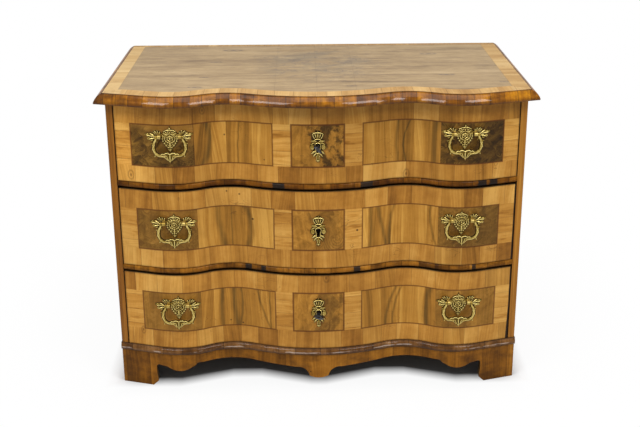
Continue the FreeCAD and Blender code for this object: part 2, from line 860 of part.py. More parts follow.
def escutcheon_outline():
    """Right half of the keyhole plate, from the drill pin, in shares of its half height."""
    return scaled([
        (0, 1), (0.034, 0.927), (0.044, 0.866),
        ((0.195, 0.878), (0.341, 0.829)),
        ((0.354, 0.683), (0.256, 0.537)),
        ((0.195, 0.439), (0.22, 0.329)),
        (0.402, 0.378), ((0.39, 0.22), (0.378, 0.146)),
        ((0.549, 0.024), (0.476, -0.171)),
        ((0.39, -0.293), (0.293, -0.317)),
        ((0.329, -0.415), (0.39, -0.463)),
        (0.305, -0.683), (0.195, -0.549),
        ((0.134, -0.61), (0.122, -0.756)),
        ((0.159, -0.878), (0.098, -0.963)), ((0.049, -1), (0, -1)),
    ], escutcheon_half_height)


def post_places():
    return [side * handle_x + way * post_half for side in (-1, 1) for way in (-1, 1)]


def pivot_z(level):
    return key_z(level) + pivot_rise[level]


def pivot_y():
    return -peak_depth - pivot_standoff


def inner_seat_y():
    """Flat seat of the post nuts, let into the inside of the front."""
    return -peak_depth + front_thick - nut_recess


def post_hole(x, level, radius=post_shank_radius + post_hole_clearance):
    """Hole for a post, with the recess for its nut."""
    z = pivot_z(level)
    hole = rod(radius, Vector(x, -2 * swell_depth, z), Vector(x, swell_depth, z))
    recess = rod(nut_size * 0.8, Vector(x, inner_seat_y(), z), Vector(x, swell_depth, z))
    return hole.fuse(recess)


def handle_plates(level):
    plates = []
    for side in (-1, 1):
        plate = on_front(handle_plate_outline(), level, side * handle_x, pivot_z(level))
        for way in (-1, 1):
            x = side * handle_x + way * post_half
            z = pivot_z(level)
            radius = post_shank_radius + post_hole_clearance
            plate = plate.cut(rod(radius, Vector(x, -2 * swell_depth, z), Vector(x, 0, z)))
        plates += plate.Solids
    return Part.makeCompound(plates)


def surface_y(x, forward):
    """Where the drawer face, moved forward, is at a distance from the middle."""
    x = abs(x)
    for bend in bends:
        last = bend.point(bend.end, forward)
        if x <= last.x:
            reach = bend.radius + bend.side * forward
            rise = math.sqrt(reach ** 2 - (x - bend.centre.x) ** 2)
            return bend.centre.y - bend.side * rise
    corner = Vector(half, 0, 0) + end_normal * forward
    return corner.y + (x - corner.x) * end_slope


def handle_posts(level):
    """Cast posts: a shank through the front and a round-ended eye for the bail's pin."""
    z = pivot_z(level)
    proud = plate_thick + plate_seat_gap
    hole = rod(bail_pin_radius + bail_pin_clearance, Vector(-eye_width, pivot_y(), z),
               Vector(eye_width, pivot_y(), z))
    tail = inner_seat_y() + nut_thick + post_end
    posts = []
    for x in post_places():
        seat = min(surface_y(x + step, proud) for step in (-eye_width / 2, 0, eye_width / 2))
        outline = [(seat, z - eye_radius), (seat, z + eye_radius), (pivot_y(), z + eye_radius),
                   ((pivot_y() - eye_radius, z), (pivot_y(), z - eye_radius))]
        face = profile_face(outline, lambda y, high: Vector(-eye_width / 2, y, high))
        eye = face.extrude(Vector(eye_width, 0, 0)).cut(hole)
        shank = rod(post_shank_radius, Vector(0, seat, z), Vector(0, tail, z))
        post = eye.fuse(shank).removeSplitter()
        post.translate(Vector(x, 0, 0))
        posts.append(post)
    return Part.makeCompound(posts)


def post_nuts(level):
    """Square nuts inside the front."""
    nuts = []
    z = pivot_z(level)
    side = nut_size / 2
    for x in post_places():
        nut = box(x - side, x + side, inner_seat_y(), inner_seat_y() + nut_thick,
                  z - side, z + side)
        hole = rod(post_shank_radius + post_hole_clearance, Vector(x, inner_seat_y() - 1, z),
                   Vector(x, inner_seat_y() + nut_thick + 1, z))
        nuts.append(nut.cut(hole))
    return Part.makeCompound(nuts)


def tangent_chain(points, direction):
    """Arcs through points in the XZ plane, each leaving in the direction that the one
    before it arrives in. Returns (start, centre, turn in radians) for each."""
    arcs = []
    for start, end in zip(points[:-1], points[1:]):
        chord = end - start
        normal = Vector(-direction.z, 0, direction.x)
        radius = chord.Length ** 2 / (2 * chord.dot(normal))
        centre = start + normal * radius
        turn = 2 * math.atan2(chord.dot(normal), chord.dot(direction))
        arcs.append((start, centre, turn))
        direction = turned(direction, turn)
    return arcs


def turned(vector, angle):
    """A vector in the XZ plane, turned anticlockwise as seen from the front."""
    cosine, sine = math.cos(angle), math.sin(angle)
    return Vector(vector.x * cosine - vector.z * sine, 0, vector.x * sine + vector.z * cosine)


def curved_strip(start, centre, turn, half_width, half_thick):
    """Bar of rectangular section along one arc in the XZ plane."""
    spoke = start - centre
    edges = []
    ends = []
    for reach in (spoke.Length - half_width, spoke.Length + half_width):
        arm = spoke * (reach / spoke.Length)
        points = [centre + turned(arm, turn * share) for share in (0, 0.5, 1)]
        edges.append(Part.Arc(*points).toShape())
        ends.append(points)
    inner, outer = ends
    outline = [edges[0], Part.makeLine(inner[2], outer[2]), edges[1],
               Part.makeLine(outer[0], inner[0])]
    return thickened(Part.Face(Part.Wire(outline)), half_thick)


def thickened(face, half_thick):
    """Plate from a face in the XZ plane, half its thickness each side of it."""
    plate = face.extrude(Vector(0, -2 * half_thick, 0))
    plate.translate(Vector(0, half_thick, 0))
    return plate


def bud():
    """Leafy bud that ends the bail outside its pivot, with a square tip."""
    long = bud_length
    outline = [(0, -bail_radius), (long * 0.25, -bail_radius), (long * 0.4, -bud_radius),
               (long * 0.85, -bud_radius * 0.8), (long, 0), (long * 0.85, bud_radius * 0.8),
               (long * 0.4, bud_radius), (long * 0.25, bail_radius), (0, bail_radius)]
    face = profile_face(outline, lambda x, z: Vector(x, 0, z))
    plate = thickened(face, bud_radius * 0.7)
    plate.rotate(Vector(0, 0, 0), Vector(0, -1, 0), bud_tilt)
    return plate


def bail():
    """Swan-neck bail about its pivot line at the origin, hanging down."""
    boss_in = post_half + eye_width / 2 + bail_side_gap
    boss_out = boss_in + bail_boss
    middle = (boss_in + boss_out) / 2
    drop = bail_drop
    neck = [Vector(middle, 0, 0), Vector(middle + 0.072 * drop, 0, -0.371 * drop),
            Vector(middle + 0.155 * drop, 0, -0.701 * drop),
            Vector(middle - 0.072 * drop, 0, -0.948 * drop), Vector(0, 0, -drop)]
    pieces = []
    for start, centre, turn in tangent_chain(neck, Vector(-0.1, 0, -0.995)):
        pieces.append(curved_strip(start, centre, turn, bail_radius, bail_radius))
    pieces.append(rod(eye_radius, Vector(boss_in, 0, 0), Vector(boss_out, 0, 0)))
    pin_start = post_half - eye_width * 0.45
    pieces.append(rod(bail_pin_radius, Vector(pin_start, 0, 0), Vector(boss_out, 0, 0)))
    end_bud = bud()
    end_bud.translate(Vector(middle, 0, 0))
    pieces.append(end_bud)
    shoulder_spur = [(middle + x * drop, z * drop)
                     for x, z in ((0.144, -0.289), (0.289, -0.309), (0.165, -0.454))]
    heel_spur = [(middle + x * drop, z * drop)
                 for x, z in ((-0.02, -0.866), (0.062, -1.01), (-0.144, -0.948))]
    leaf_outline = scaled([
        (0, -0.938), ((0.144, -0.856), (0.268, -0.907)), ((0.392, -0.907), (0.474, -0.969)),
        ((0.392, -1.093), (0.268, -1.124)), ((0.227, -1.237), (0.124, -1.258)), (0, -1.423),
    ], drop)
    for outline, thick in ((shoulder_spur, 0.7), (heel_spur, 0.7), (leaf_outline, 1.0)):
        face = profile_face(outline, lambda x, z: Vector(x, 0, z))
        pieces.append(thickened(face, bail_radius * thick))
    return fused(pieces + [mirrored(piece) for piece in pieces])


def make_drawer(level, bail_shape):
    tails = dovetail_prisms(level)
    front = drawer_front(level, tails)
    side = drawer_side(level, front)
    save(level + "_drawer_front", front)
    save(level + "_drawer_sides", Part.makeCompound([side, mirrored(side)]))

    inner = drawer_half - drawer_side_thick
    low = floor_of(level)
    panel = drawer_bottom(level)
    back_low = low + bottom_raise + bottom_thick
    back_top = low + front_height(level) - drawer_back_drop
    back = box(-inner, inner, drawer_back_y - drawer_back_thick, drawer_back_y,
               back_low, back_top)
    save(level + "_drawer_bottom", panel)
    save(level + "_drawer_back", back)

    save(level + "_lock_case", lock_case(level))
    save(level + "_lock_bolt", lock_bolt(level))
    escutcheon = on_front(escutcheon_outline(), level, 0, key_z(level))
    save(level + "_escutcheon", escutcheon.cut(keyhole(level, -2 * swell_depth, 0)))
    save(level + "_handle_plates", handle_plates(level))
    save(level + "_handle_posts", handle_posts(level))
    save(level + "_post_nuts", post_nuts(level))
    for side_name, sign in (("left", -1), ("right", 1)):
        placed = bail_shape.copy()
        placed.translate(Vector(sign * handle_x, pivot_y(), pivot_z(level)))
        save(level + "_bail_" + side_name, placed)
    if level in key_tilts:
        save(level + "_key", key(level))


def main():
    os.makedirs("parts", exist_ok=True)
    make_case()
    make_top()
    make_base()
    bail_shape = bail()
    for level in levels:
        make_drawer(level, bail_shape)


main()
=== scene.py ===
import json
import math

import bpy
import numpy as np
from mathutils import Matrix, Vector

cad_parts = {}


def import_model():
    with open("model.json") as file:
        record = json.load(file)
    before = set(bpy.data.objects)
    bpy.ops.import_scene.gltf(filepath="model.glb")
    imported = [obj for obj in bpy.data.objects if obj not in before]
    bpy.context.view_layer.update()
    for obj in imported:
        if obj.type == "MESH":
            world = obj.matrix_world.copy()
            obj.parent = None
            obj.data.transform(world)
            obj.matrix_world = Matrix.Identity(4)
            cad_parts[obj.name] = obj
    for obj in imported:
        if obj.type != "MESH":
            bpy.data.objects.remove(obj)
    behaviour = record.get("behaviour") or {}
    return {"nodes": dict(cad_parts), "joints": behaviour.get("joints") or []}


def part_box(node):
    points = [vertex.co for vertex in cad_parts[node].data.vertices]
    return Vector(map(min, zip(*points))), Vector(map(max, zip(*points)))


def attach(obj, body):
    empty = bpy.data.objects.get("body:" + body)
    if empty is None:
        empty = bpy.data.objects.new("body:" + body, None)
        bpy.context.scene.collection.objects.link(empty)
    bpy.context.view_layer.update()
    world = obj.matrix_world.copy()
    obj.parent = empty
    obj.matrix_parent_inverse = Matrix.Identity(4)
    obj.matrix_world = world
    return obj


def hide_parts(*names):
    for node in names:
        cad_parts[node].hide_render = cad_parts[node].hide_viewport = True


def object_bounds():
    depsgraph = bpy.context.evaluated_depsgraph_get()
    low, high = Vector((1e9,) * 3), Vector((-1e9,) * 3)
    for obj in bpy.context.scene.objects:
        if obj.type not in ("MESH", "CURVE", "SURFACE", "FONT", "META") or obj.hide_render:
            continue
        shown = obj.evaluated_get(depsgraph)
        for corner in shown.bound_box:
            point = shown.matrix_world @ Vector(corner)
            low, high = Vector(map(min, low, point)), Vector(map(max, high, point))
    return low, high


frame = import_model()
cad_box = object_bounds()
NODES = frame["nodes"]
LEVELS = ("upper", "middle", "lower")
MM = 0.001


# ---- shader helpers
def operation(name, swapped=False):
    """A method that joins a number with another one by a math node."""
    def apply(self, other=0.0):
        return self.s.math(name, other, self) if swapped else self.s.math(name, self, other)
    return apply


class Val:
    """A number in a node tree, so that formulas can be written with + - * and /."""

    def __init__(self, shader, socket):
        self.s, self.socket = shader, socket

    __add__ = __radd__ = operation("ADD")
    __sub__, __rsub__ = operation("SUBTRACT"), operation("SUBTRACT", True)
    __mul__ = __rmul__ = operation("MULTIPLY")
    __truediv__ = operation("DIVIDE")
    __abs__ = operation("ABSOLUTE")


def linear(rgb):
    """Linear colour from 0..255 display values."""
    shares = [v / 255 for v in rgb]
    return tuple(v / 12.92 if v <= 0.04045 else ((v + 0.055) / 1.055) ** 2.4
                 for v in shares) + (1.0,)


def blend(share, a, b):
    """From one number to the other as the share goes from 0 to 1."""
    return a * (1 - share) + b * share


class Shader:
    """A procedural material. Its `colour` is what has been painted so far."""

    def __init__(self, name, **settings):
        self.mat = bpy.data.materials.new(name)
        self.mat.use_nodes = True
        self.tree = self.mat.node_tree
        self.bsdf = self.tree.nodes["Principled BSDF"]
        for key, value in settings.items():
            self.bsdf.inputs[key.replace("_", " ")].default_value = value
        coords = self.add("ShaderNodeTexCoord")
        geometry = self.add("ShaderNodeNewGeometry")
        self.x, self.y, self.z = self.split("XYZ", Vector=coords.outputs["Object"])
        self.nx, self.ny, self.nz = self.split("XYZ", Vector=geometry.outputs["True Normal"])
        self.pointiness = Val(self, geometry.outputs["Pointiness"])
        self.colour = None

    def add(self, kind, props=None, **inputs):
        node = self.tree.nodes.new(kind)
        for key, value in (props or {}).items():
            setattr(node, key, value)
        for key, value in inputs.items():
            self.put(node.inputs[key], value)
        return node

    def put(self, socket, value):
        if isinstance(value, Val):
            value = value.socket
        if isinstance(value, bpy.types.NodeSocket):
            self.tree.links.new(value, socket)
        else:
            socket.default_value = value

    def split(self, kind, **inputs):
        """The three parts of a vector or a colour, as numbers."""
        return [Val(self, part) for part in self.add("ShaderNodeSeparate" + kind, **inputs).outputs]

    def math(self, op, a, b=0.0, clamp=False):
        node = self.add("ShaderNodeMath", {"operation": op, "use_clamp": clamp})
        self.put(node.inputs[0], a)
        self.put(node.inputs[1], b)
        return Val(self, node.outputs[0])

    def least(self, first, *others, op="MINIMUM"):
        for value in others:
            first = self.math(op, first, value)
        return first

    def most(self, *values):
        return self.least(*values, op="MAXIMUM")

    def above(self, value, edge, soft=0.0002):
        """1 where value is over the edge, 0 below, with a short ramp between."""
        return self.clamp((value - edge) / soft + 0.5)

    def below(self, value, edge, soft=0.0002):
        return 1 - self.above(value, edge, soft)

    def clamp(self, value):
        return self.math("ADD", value, 0.0, clamp=True)

    def vec(self, x, y, z):
        return self.add("ShaderNodeCombineXYZ", X=x, Y=y, Z=z).outputs[0]

    def noise(self, x, y, z, detail=2.0, rough=0.5, distortion=0.0):
        node = self.add("ShaderNodeTexNoise", Vector=self.vec(x, y, z), Scale=1.0,
                        Detail=detail, Roughness=rough, Distortion=distortion)
        return Val(self, node.outputs[0])

    def pieces(self, coord, width, seed):
        """Splits a line into pieces. Returns two random numbers of the piece and the
        distance to its nearer joint."""
        place = {"W": coord / width + seed, "Scale": 1.0, "Randomness": 0.8}
        cell = self.add("ShaderNodeTexVoronoi", {"voronoi_dimensions": "1D"}, **place)
        edge = self.add("ShaderNodeTexVoronoi",
                        {"voronoi_dimensions": "1D", "feature": "DISTANCE_TO_EDGE"}, **place)
        first, second, _ = self.split("Color", Color=cell.outputs["Color"])
        return first, second, Val(self, edge.outputs["Distance"]) * width

    def spots(self, x, y, z, size, share, seed):
        """Small round spots on a share of the cells of a grid."""
        place = self.vec(x / size, y / size, z / size + seed)
        cell = self.add("ShaderNodeTexVoronoi", Vector=place, Scale=1.0, Randomness=1.0)
        chance = self.split("Color", Color=cell.outputs["Color"])[0]
        distance = Val(self, cell.outputs["Distance"])
        return self.above(chance, 1 - share, 0.001) * self.below(distance, 0.09, 0.04)

    def scale(self, value, stops, interpolation="LINEAR"):
        """Colour ramp through a list of (place, linear colour)."""
        node = self.add("ShaderNodeValToRGB", Fac=value)
        node.color_ramp.interpolation = interpolation
        elements = node.color_ramp.elements
        while len(elements) < len(stops):
            elements.new(0.5)
        for element, (place, colour) in zip(elements, stops):
            element.position = place
            element.color = colour
        return node.outputs[0]

    def ramp(self, value, stops):
        return self.scale(value, [(place, linear(rgb)) for place, rgb in stops])

    def steps(self, coord, edges):
        """A stepped number along a line, from a list of (start, number)."""
        reach = 1.2
        stops = [(start / reach + 0.5, (number, number, number, 1)) for start, number in edges]
        return self.split("Color", Color=self.scale(coord / reach + 0.5, stops, "CONSTANT"))[0]

    def mix(self, factor, a, b, kind="MIX"):
        node = self.add("ShaderNodeMix", {"data_type": "RGBA", "blend_type": kind})
        self.put(node.inputs["Factor"], factor)
        self.put(node.inputs[6], linear(a) if isinstance(a, tuple) else a)
        self.put(node.inputs[7], linear(b) if isinstance(b, tuple) else b)
        return node.outputs[2]

    def shade(self, colour, amount):
        """Darkens or brightens a colour by a number round 1."""
        grey = self.add("ShaderNodeCombineColor", Red=amount, Green=amount, Blue=amount)
        return self.mix(1.0, colour, grey.outputs[0], "MULTIPLY")

    def paint(self, mask, tone):
        """Lays a tone or a colour over what has been painted so far."""
        self.colour = self.mix(mask, self.colour, tone)

    def line(self, distance, reach, soft, strength, tone):
        """Paints what lies within a reach of a line or an edge."""
        self.paint(self.below(distance, reach, soft) * strength, tone)

    def finish(self, rough, height=None, depth=0.001, strength=1.0):
        self.put(self.bsdf.inputs["Base Color"], self.colour)
        self.put(self.bsdf.inputs["Roughness"], rough)
        if height is not None:
            bump = self.add("ShaderNodeBump", Strength=strength, Distance=depth, Height=height)
            self.tree.links.new(bump.outputs[0], self.bsdf.inputs["Normal"])
        return self.mat


def grain(s, along, across, seed, warp=0.03, turn=2.2):
    """Tones of sawn wood, dark to light round 0.5, and its pores."""
    drift = s.noise(along * turn, across * 7, seed, 2) - 0.5
    bent = across + drift * warp
    figure = s.noise(along * 1.4, bent * 30, seed + 3.1, 3)
    lines = s.noise(along * 3.5, bent * 170, seed + 7.7, 3, 0.6)
    fibre = s.noise(along * 28, bent * 1100, seed + 1.9, 2)
    pores = s.noise(along * 70, bent * 1500, seed + 5.3, 0)
    tone = (figure * 0.5 + lines * 0.34 + fibre * 0.16 - 0.5) * 1.7 + 0.5
    return tone, s.above(pores, 0.66, 0.06)


def burr(s, a, b, seed, scale=1.0):
    """Swirling tones of figured root walnut."""
    swirl = s.noise(a * 9 * scale, b * 9 * scale, seed, 2, 0.5, 1.5)
    bands = s.noise(a * 22 * scale + swirl * 5, b * 22 * scale + swirl * 3, seed + 2.2, 4, 0.62,
                    0.8)
    return (bands * 0.65 + swirl * 0.35 - 0.5) * 1.5 + 0.5


def knot(s, a, b, place, size, long=1.7):
    """Eye of a branch: 1 at its middle and on its ring, for mixing in a dark tone."""
    wobble = s.noise(a * 90, b * 90, place[0] * 40, 2) * 0.5 + 0.75
    reach = s.math("SQRT", (a - place[0]) * (a - place[0]) * (1 / size ** 2)
                   + (b - place[1]) * (b - place[1]) * (1 / (size * long) ** 2)) * wobble
    ring = s.below(abs(reach - 0.8), 0.16, 0.3)
    return s.most(s.below(reach, 0.3, 0.3), ring * 0.7)


# ---- wood tones (display values)
HONEY = ((0.20, (106, 64, 14)), (0.40, (150, 99, 32)), (0.57, (180, 126, 50)),
         (0.80, (208, 158, 78)))
OLIVE = ((0.20, (88, 57, 12)), (0.40, (138, 93, 28)), (0.57, (170, 118, 42)),
         (0.80, (202, 151, 68)))
WALNUT = ((0.20, (40, 26, 4)), (0.40, (84, 57, 15)), (0.58, (124, 89, 31)), (0.80, (168, 124, 54)))
REDDISH = ((0.20, (58, 30, 0)), (0.42, (110, 62, 0)), (0.57, (150, 92, 2)), (0.80, (190, 126, 14)))
DARK_RED = ((0.22, (48, 23, 2)), (0.42, (90, 50, 4)), (0.57, (118, 70, 10)), (0.78, (150, 97, 26)))
WORN = ((0.22, (58, 32, 8)), (0.42, (90, 56, 20)), (0.57, (116, 77, 36)), (0.78, (146, 106, 62)))
PALE = ((0.22, (166, 126, 72)), (0.42, (188, 150, 93)), (0.58, (203, 169, 113)),
        (0.78, (215, 184, 130)))
FIELD = ((0.20, (110, 91, 68)), (0.40, (150, 126, 94)), (0.57, (172, 146, 108)),
         (0.80, (190, 164, 125)))
PLINTH = ((0.22, (60, 32, 3)), (0.42, (108, 66, 12)), (0.58, (142, 90, 22)),
          (0.80, (176, 120, 40)))
STILE = ((0.25, (100, 57, 8)), (0.45, (142, 89, 20)), (0.58, (166, 111, 34)),
         (0.78, (188, 133, 50)))
PINE = ((0.25, (112, 78, 42)), (0.45, (152, 115, 70)), (0.58, (172, 134, 86)),
        (0.78, (190, 156, 108)))
STRING = (88, 46, 12)
JOINT = (80, 46, 14)
GAP_SHADE = (14, 9, 5)


def softwood(s, along, across, seed):
    """Bare, aged pine for everything that isn't veneered: its colour and its fibre."""
    drift = s.noise(along * 1.3, across * 3, seed, 2) - 0.5
    rings = s.noise(along * 0.7, (across + drift * 0.05) * 60, seed + 2.0, 3, 0.55)
    fibre = s.noise(along * 20, across * 700, seed, 2)
    dirt = s.noise(along * 5, across * 5, seed + 9.0, 4, 0.6)
    tone = (rings * 0.62 + fibre * 0.2 + dirt * 0.18 - 0.5) * 1.4 + 0.5
    return s.ramp(tone, PINE), fibre


# ---- materials of the top
TOP_KNOTS = (((-0.28, 0.10), 0.008), ((-0.30, -0.09), 0.006), ((-0.315, -0.2), 0.009),
             ((-0.37, 0.31), 0.005), ((-0.24, 0.26), 0.014), ((-0.06, 0.12), 0.009),
             ((0.09, -0.2), 0.007), ((0.33, 0.19), 0.012), ((0.35, -0.08), 0.01),
             ((0.49, -0.17), 0.006))
# Share of a band's ground that the band covers, at the right, the left and the back.
BAND_RIGHT, BAND_LEFT, BAND_BACK = 0.88, 0.74, 0.45


def top_field(s):
    """Paints the faded, figured walnut of the middle of the top and returns its relief."""
    tone, pore = grain(s, s.x * 0.8, s.y, 4.0, 0.06, 1.6)
    broad = s.noise(s.x * 2.0, s.y * 14, 6.0, 4, 0.65)
    fine = s.noise(s.x * 16, s.y * 60, 11.0, 4, 0.7)
    centre = burr(s, s.x * 0.8, s.y, 8.0, 0.9)
    # greyer, figured leaves round the middle, with a net of fine dark veins
    reach = s.math("SQRT", s.x * s.x * 10 + (s.y - 0.08) * (s.y - 0.08) * 6)
    patch = s.below(reach + (centre - 0.5) * 0.6, 0.42, 0.4)
    figure = tone * 0.5 + broad * 0.8 + fine * 0.75 - 0.5
    s.colour = s.ramp(figure * (1 - patch * 0.5) + centre * patch * 0.48, FIELD)
    grey = s.above(s.noise(s.x * 6, s.y * 9, 3.0, 4, 0.6), 0.5, 0.12)
    s.paint(grey * patch * 0.55, (122, 112, 96))
    vein = abs(s.noise(s.x * 9, s.y * 13, 5.0, 4, 0.65) - 0.5)
    near = s.below(reach, 0.55, 0.35)
    s.line(vein, 0.008, 0.014, near * 0.55, (84, 84, 92))
    s.line(abs(s.y - 0.255 - s.x * 0.03), 0.02, 0.03, near * 0.4, (136, 104, 62))
    joints = s.least(abs(s.x), abs(abs(s.x + 0.004) - 0.105), abs(s.y - 0.05) + abs(s.x) * 0.001)
    s.line(joints, 0.0004, 0.0006, 0.4, (92, 76, 60))
    stain = s.above(s.noise(s.x * 3.0, s.y * 12, 2.0, 4, 0.65), 0.54, 0.14)
    s.paint(stain * 0.25, (134, 110, 80))
    for (x, y), size in TOP_KNOTS:
        s.paint(knot(s, s.y, s.x, (y, x), size, 2.2) * 0.85, (84, 78, 78))
    s.paint(pore * 0.25, (112, 90, 62))
    return tone * 0.5 - pore


def top_veneer(name, banded):
    """Veneer of the top. Its field runs on over the inner part of the bands' ground."""
    s = Shader(name, Coat_Weight=0.08, Coat_Roughness=0.3, Specular_IOR_Level=0.3)
    relief = top_field(s)
    if banded:
        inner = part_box("top_veneer_field")[1]
        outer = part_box("top_crossbanding")[1]
        ground = outer.x - inner.x
        past_end = s.most(s.x - outer.x + ground * BAND_RIGHT,
                          ground * BAND_LEFT - outer.x - s.x)
        corner = min(v.co.y for v in NODES["top_veneer_field"].data.vertices
                     if v.co.x > inner.x - 0.002)
        past_back = s.y - outer.y + (outer.y - inner.y) * BAND_BACK
        past_row = s.most(past_back, corner - s.y)
        past = s.most(past_end, past_row)
        end = s.above(past_end - s.most(past_row, 0.0) * 1.4, 0.0)
        front = s.below(abs(s.x), inner.x) * s.below(s.y, 0.0)
        a1, a2, edge_a = s.pieces(s.x, 0.043, 3.3)
        b1, b2, edge_b = s.pieces(s.y, 0.125, 9.1)
        tone_a, _ = grain(s, s.y, s.x, a1 * 9)
        tone_b, _ = grain(s, s.x, s.y, b1 * 9)
        tone = blend(end, tone_a, tone_b)
        tint = blend(end, a2, b2) * 0.2 - 0.1
        joint = s.least(edge_a + end, edge_b + (1 - end), abs(past_end - past_row * 1.4) + 0.0003)
        band = s.ramp((tone - 0.5) * 0.8 + 0.52 + tint - s.x * 0.16
                      - s.above(past_back, 0.0) * 0.25, PALE)
        band = s.mix(front * 0.4, band, s.ramp((tone_a - 0.5) * 0.8 + 0.6 + tint, HONEY))
        band = s.mix(s.below(joint, 0.0006, 0.0008) * 0.75, band, (120, 76, 32))
        dirt = s.above(s.noise(s.x * 22, s.y * 22, 4.0, 4, 0.65), 0.6, 0.12)
        band = s.mix(dirt * 0.3, band, (150, 108, 60))
        s.paint(s.most(s.above(past, 0.0, 0.0008), front), band)
        s.line(abs(past), 0.0007, 0.0008, (1 - front) * 0.4, (110, 80, 48))
    rough = 0.42 + s.noise(s.x * 12, s.y * 12, 1.0, 3) * 0.14
    return s.finish(rough, relief, 0.0004, 0.4)


def moulding(name, node, stops, width, seed, run, rough, coat, losses=(), scuffs_and_sheen=0.0):
    """Cross-grain blocks along a moulding. Losses are the stretches, along X, where the
    veneer is gone or patched in black. Scuffs are pale lines along its fullest part: rubbed wear
    and painted highlight in one."""
    s = Shader(name, Coat_Weight=coat, Coat_Roughness=0.08, Specular_IOR_Level=0.06)
    low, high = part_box(node)
    along, other = (s.x, s.y) if run == "x" else (s.y, s.x)
    p1, p2, joint = s.pieces(along, width, seed)
    tone, _ = grain(s, s.z * 1.5 + other, along, p1 * 11)
    spread = s.noise(along * 18, s.z * 30, seed + 2.0, 4, 0.65)
    s.colour = s.ramp((tone - 0.5) * 0.6 + spread * 0.7 + (p2 - 0.5) * 0.24 + 0.15, stops)
    grime = s.noise(s.x * 20, s.y * 20, s.z * 40 + seed, 4, 0.6)
    s.paint(s.above(grime, 0.56, 0.14) * 0.5, (44, 22, 5))
    # darker along both edges, more along the lower one
    share = (s.z - low.z) / (high.z - low.z)
    s.line(share, 0.2, 0.36, 0.6, (40, 20, 5))
    s.paint(s.above(share, 0.94, 0.1) * 0.7, (34, 17, 5))
    s.line(joint, 0.0006, 0.0008, 0.85, (24, 12, 4))
    # pale lines along the fullest part: partly rubbed wear, partly a painted highlight
    if scuffs_and_sheen:
        rubbed = s.above(s.noise(along * 11, share * 0.6, seed + 5.0, 4, 0.7), 0.54, 0.06)
        s.line(abs(share - 0.4 - (grime - 0.5) * 0.5), 0.05, 0.12, rubbed * scuffs_and_sheen,
               (206, 194, 184))
    ragged = (s.noise(s.x * 200, s.z * 200, seed, 2) - 0.5) * 0.006
    for start, end in losses:
        s.line(abs(s.x - (start + end) / 2) + ragged, (end - start) / 2, 0.001, 0.9, (26, 24, 22))
    pine, _ = softwood(s, s.x, s.z, seed)
    s.paint(s.above(s.ny, 0.6, 0.05), s.shade(pine, 0.7))
    return s.finish(rough + grime * 0.16, tone + grime * 0.4, 0.0006, 0.5)


# ---- drawer fronts
# Veneer leaves of the panels, from left to right: where each begins and how light it is.
LEAVES = {
    "upper": ((-0.6, 0.5), (-0.3145, 0.4), (-0.275, 0.66), (-0.238, 0.42), (-0.2, 0.48),
              (-0.172, 0.54), (0.0, 0.6), (0.165, 0.5), (0.204, 0.38), (0.245, 0.55),
              (0.275, 0.46)),
    "middle": ((-0.6, 0.5), (-0.3145, 0.6), (-0.268, 0.4), (-0.227, 0.46), (-0.176, 0.7),
               (0.0, 0.72), (0.13, 0.4), (0.192, 0.5), (0.216, 0.6), (0.283, 0.5)),
    "lower": ((-0.6, 0.5), (-0.3145, 0.46), (-0.284, 0.56), (-0.265, 0.36), (-0.222, 0.44),
              (-0.158, 0.64), (-0.13, 0.44), (0.0, 0.5), (0.168, 0.42), (0.216, 0.52),
              (0.24, 0.6), (0.285, 0.46)),
}
# Dark, olive bands in the panels: place at the middle height, lean, bend and half width.
STREAKS = {
    "upper": ((-0.277, 0.1, -4.0, 0.0075), (-0.205, 0.04, 1.0, 0.0018),
              (0.204, 0.02, 1.0, 0.004), (0.222, 0.1, 4.0, 0.002), (0.298, 0.03, 1.5, 0.008)),
    "middle": ((-0.259, -0.15, 1.0, 0.008), (-0.227, 0.0, 0.0, 0.0016),
               (-0.174, -0.04, -4.5, 0.0075), (0.137, 0.03, 0.0, 0.005),
               (0.167, -0.2, 1.0, 0.005), (0.188, 0.12, 2.0, 0.004), (0.297, -0.15, 2.0, 0.003)),
    "lower": ((-0.262, 0.02, 1.0, 0.0055), (-0.226, -0.06, 1.0, 0.007),
              (-0.205, 0.06, -2.0, 0.003), (-0.15, -0.3, 1.0, 0.003), (-0.13, 0.0, 0.0, 0.002),
              (0.19, 0.25, 2.0, 0.004), (0.207, 0.2, 2.0, 0.003), (0.29, 0.05, 2.0, 0.007)),
}
FRONT_KNOTS = {
    "upper": (((-0.482, -0.082), 0.009), ((-0.292, 0.088), 0.007), ((0.23, -0.09), 0.009)),
    "middle": (((-0.36, 0.088), 0.003), ((0.17, -0.006), 0.006), ((-0.47, 0.02), 0.006)),
    "lower": (((-0.475, -0.06), 0.007), ((-0.45, 0.006), 0.009), ((0.02, 0.1), 0.009)),
}
SEEDS = {"upper": 1.0, "middle": 5.0, "lower": 9.0}
# How dark the squares are, how far they look like the panels, how blotchy the keyhole panel
# is, and how much darker the right-hand square's outer end is.
SQUARES = {"upper": (0.36, 0.0, 0.85, 0.45), "middle": (0.3, 0.3, 0.3, 0.3),
           "lower": (0.24, 0.6, 0.5, 0.0)}
# Painted light and shade on each front: how much darker it is near its top, in the shadow of the
# top's edge, lighter at its left end and darker right of the middle.
SHADES = {"upper": (0.12, 0.28, 0.1), "middle": (0.0, 0.0, 0.0), "lower": (0.0, 0.1, 0.0)}
# painted shade: a dark wedge on a front's right end stands in for the shadowed gap beside it
PAINTED_GAP_WEDGES = {"middle": 0.01, "lower": 0.035}      # how fast the gap at the right widens downwards
PANEL_HALF = 0.0555         # half the height of the panels
PANEL_OUTER = {"upper": (0.477, 0.477), "middle": (0.472, 0.474), "lower": (0.4705, 0.475)}
PANEL_SPLIT = 0.3145        # between the walnut under a handle and the lighter leaves
PANEL_INNER = 0.1155
KEY_PANEL = 0.0675


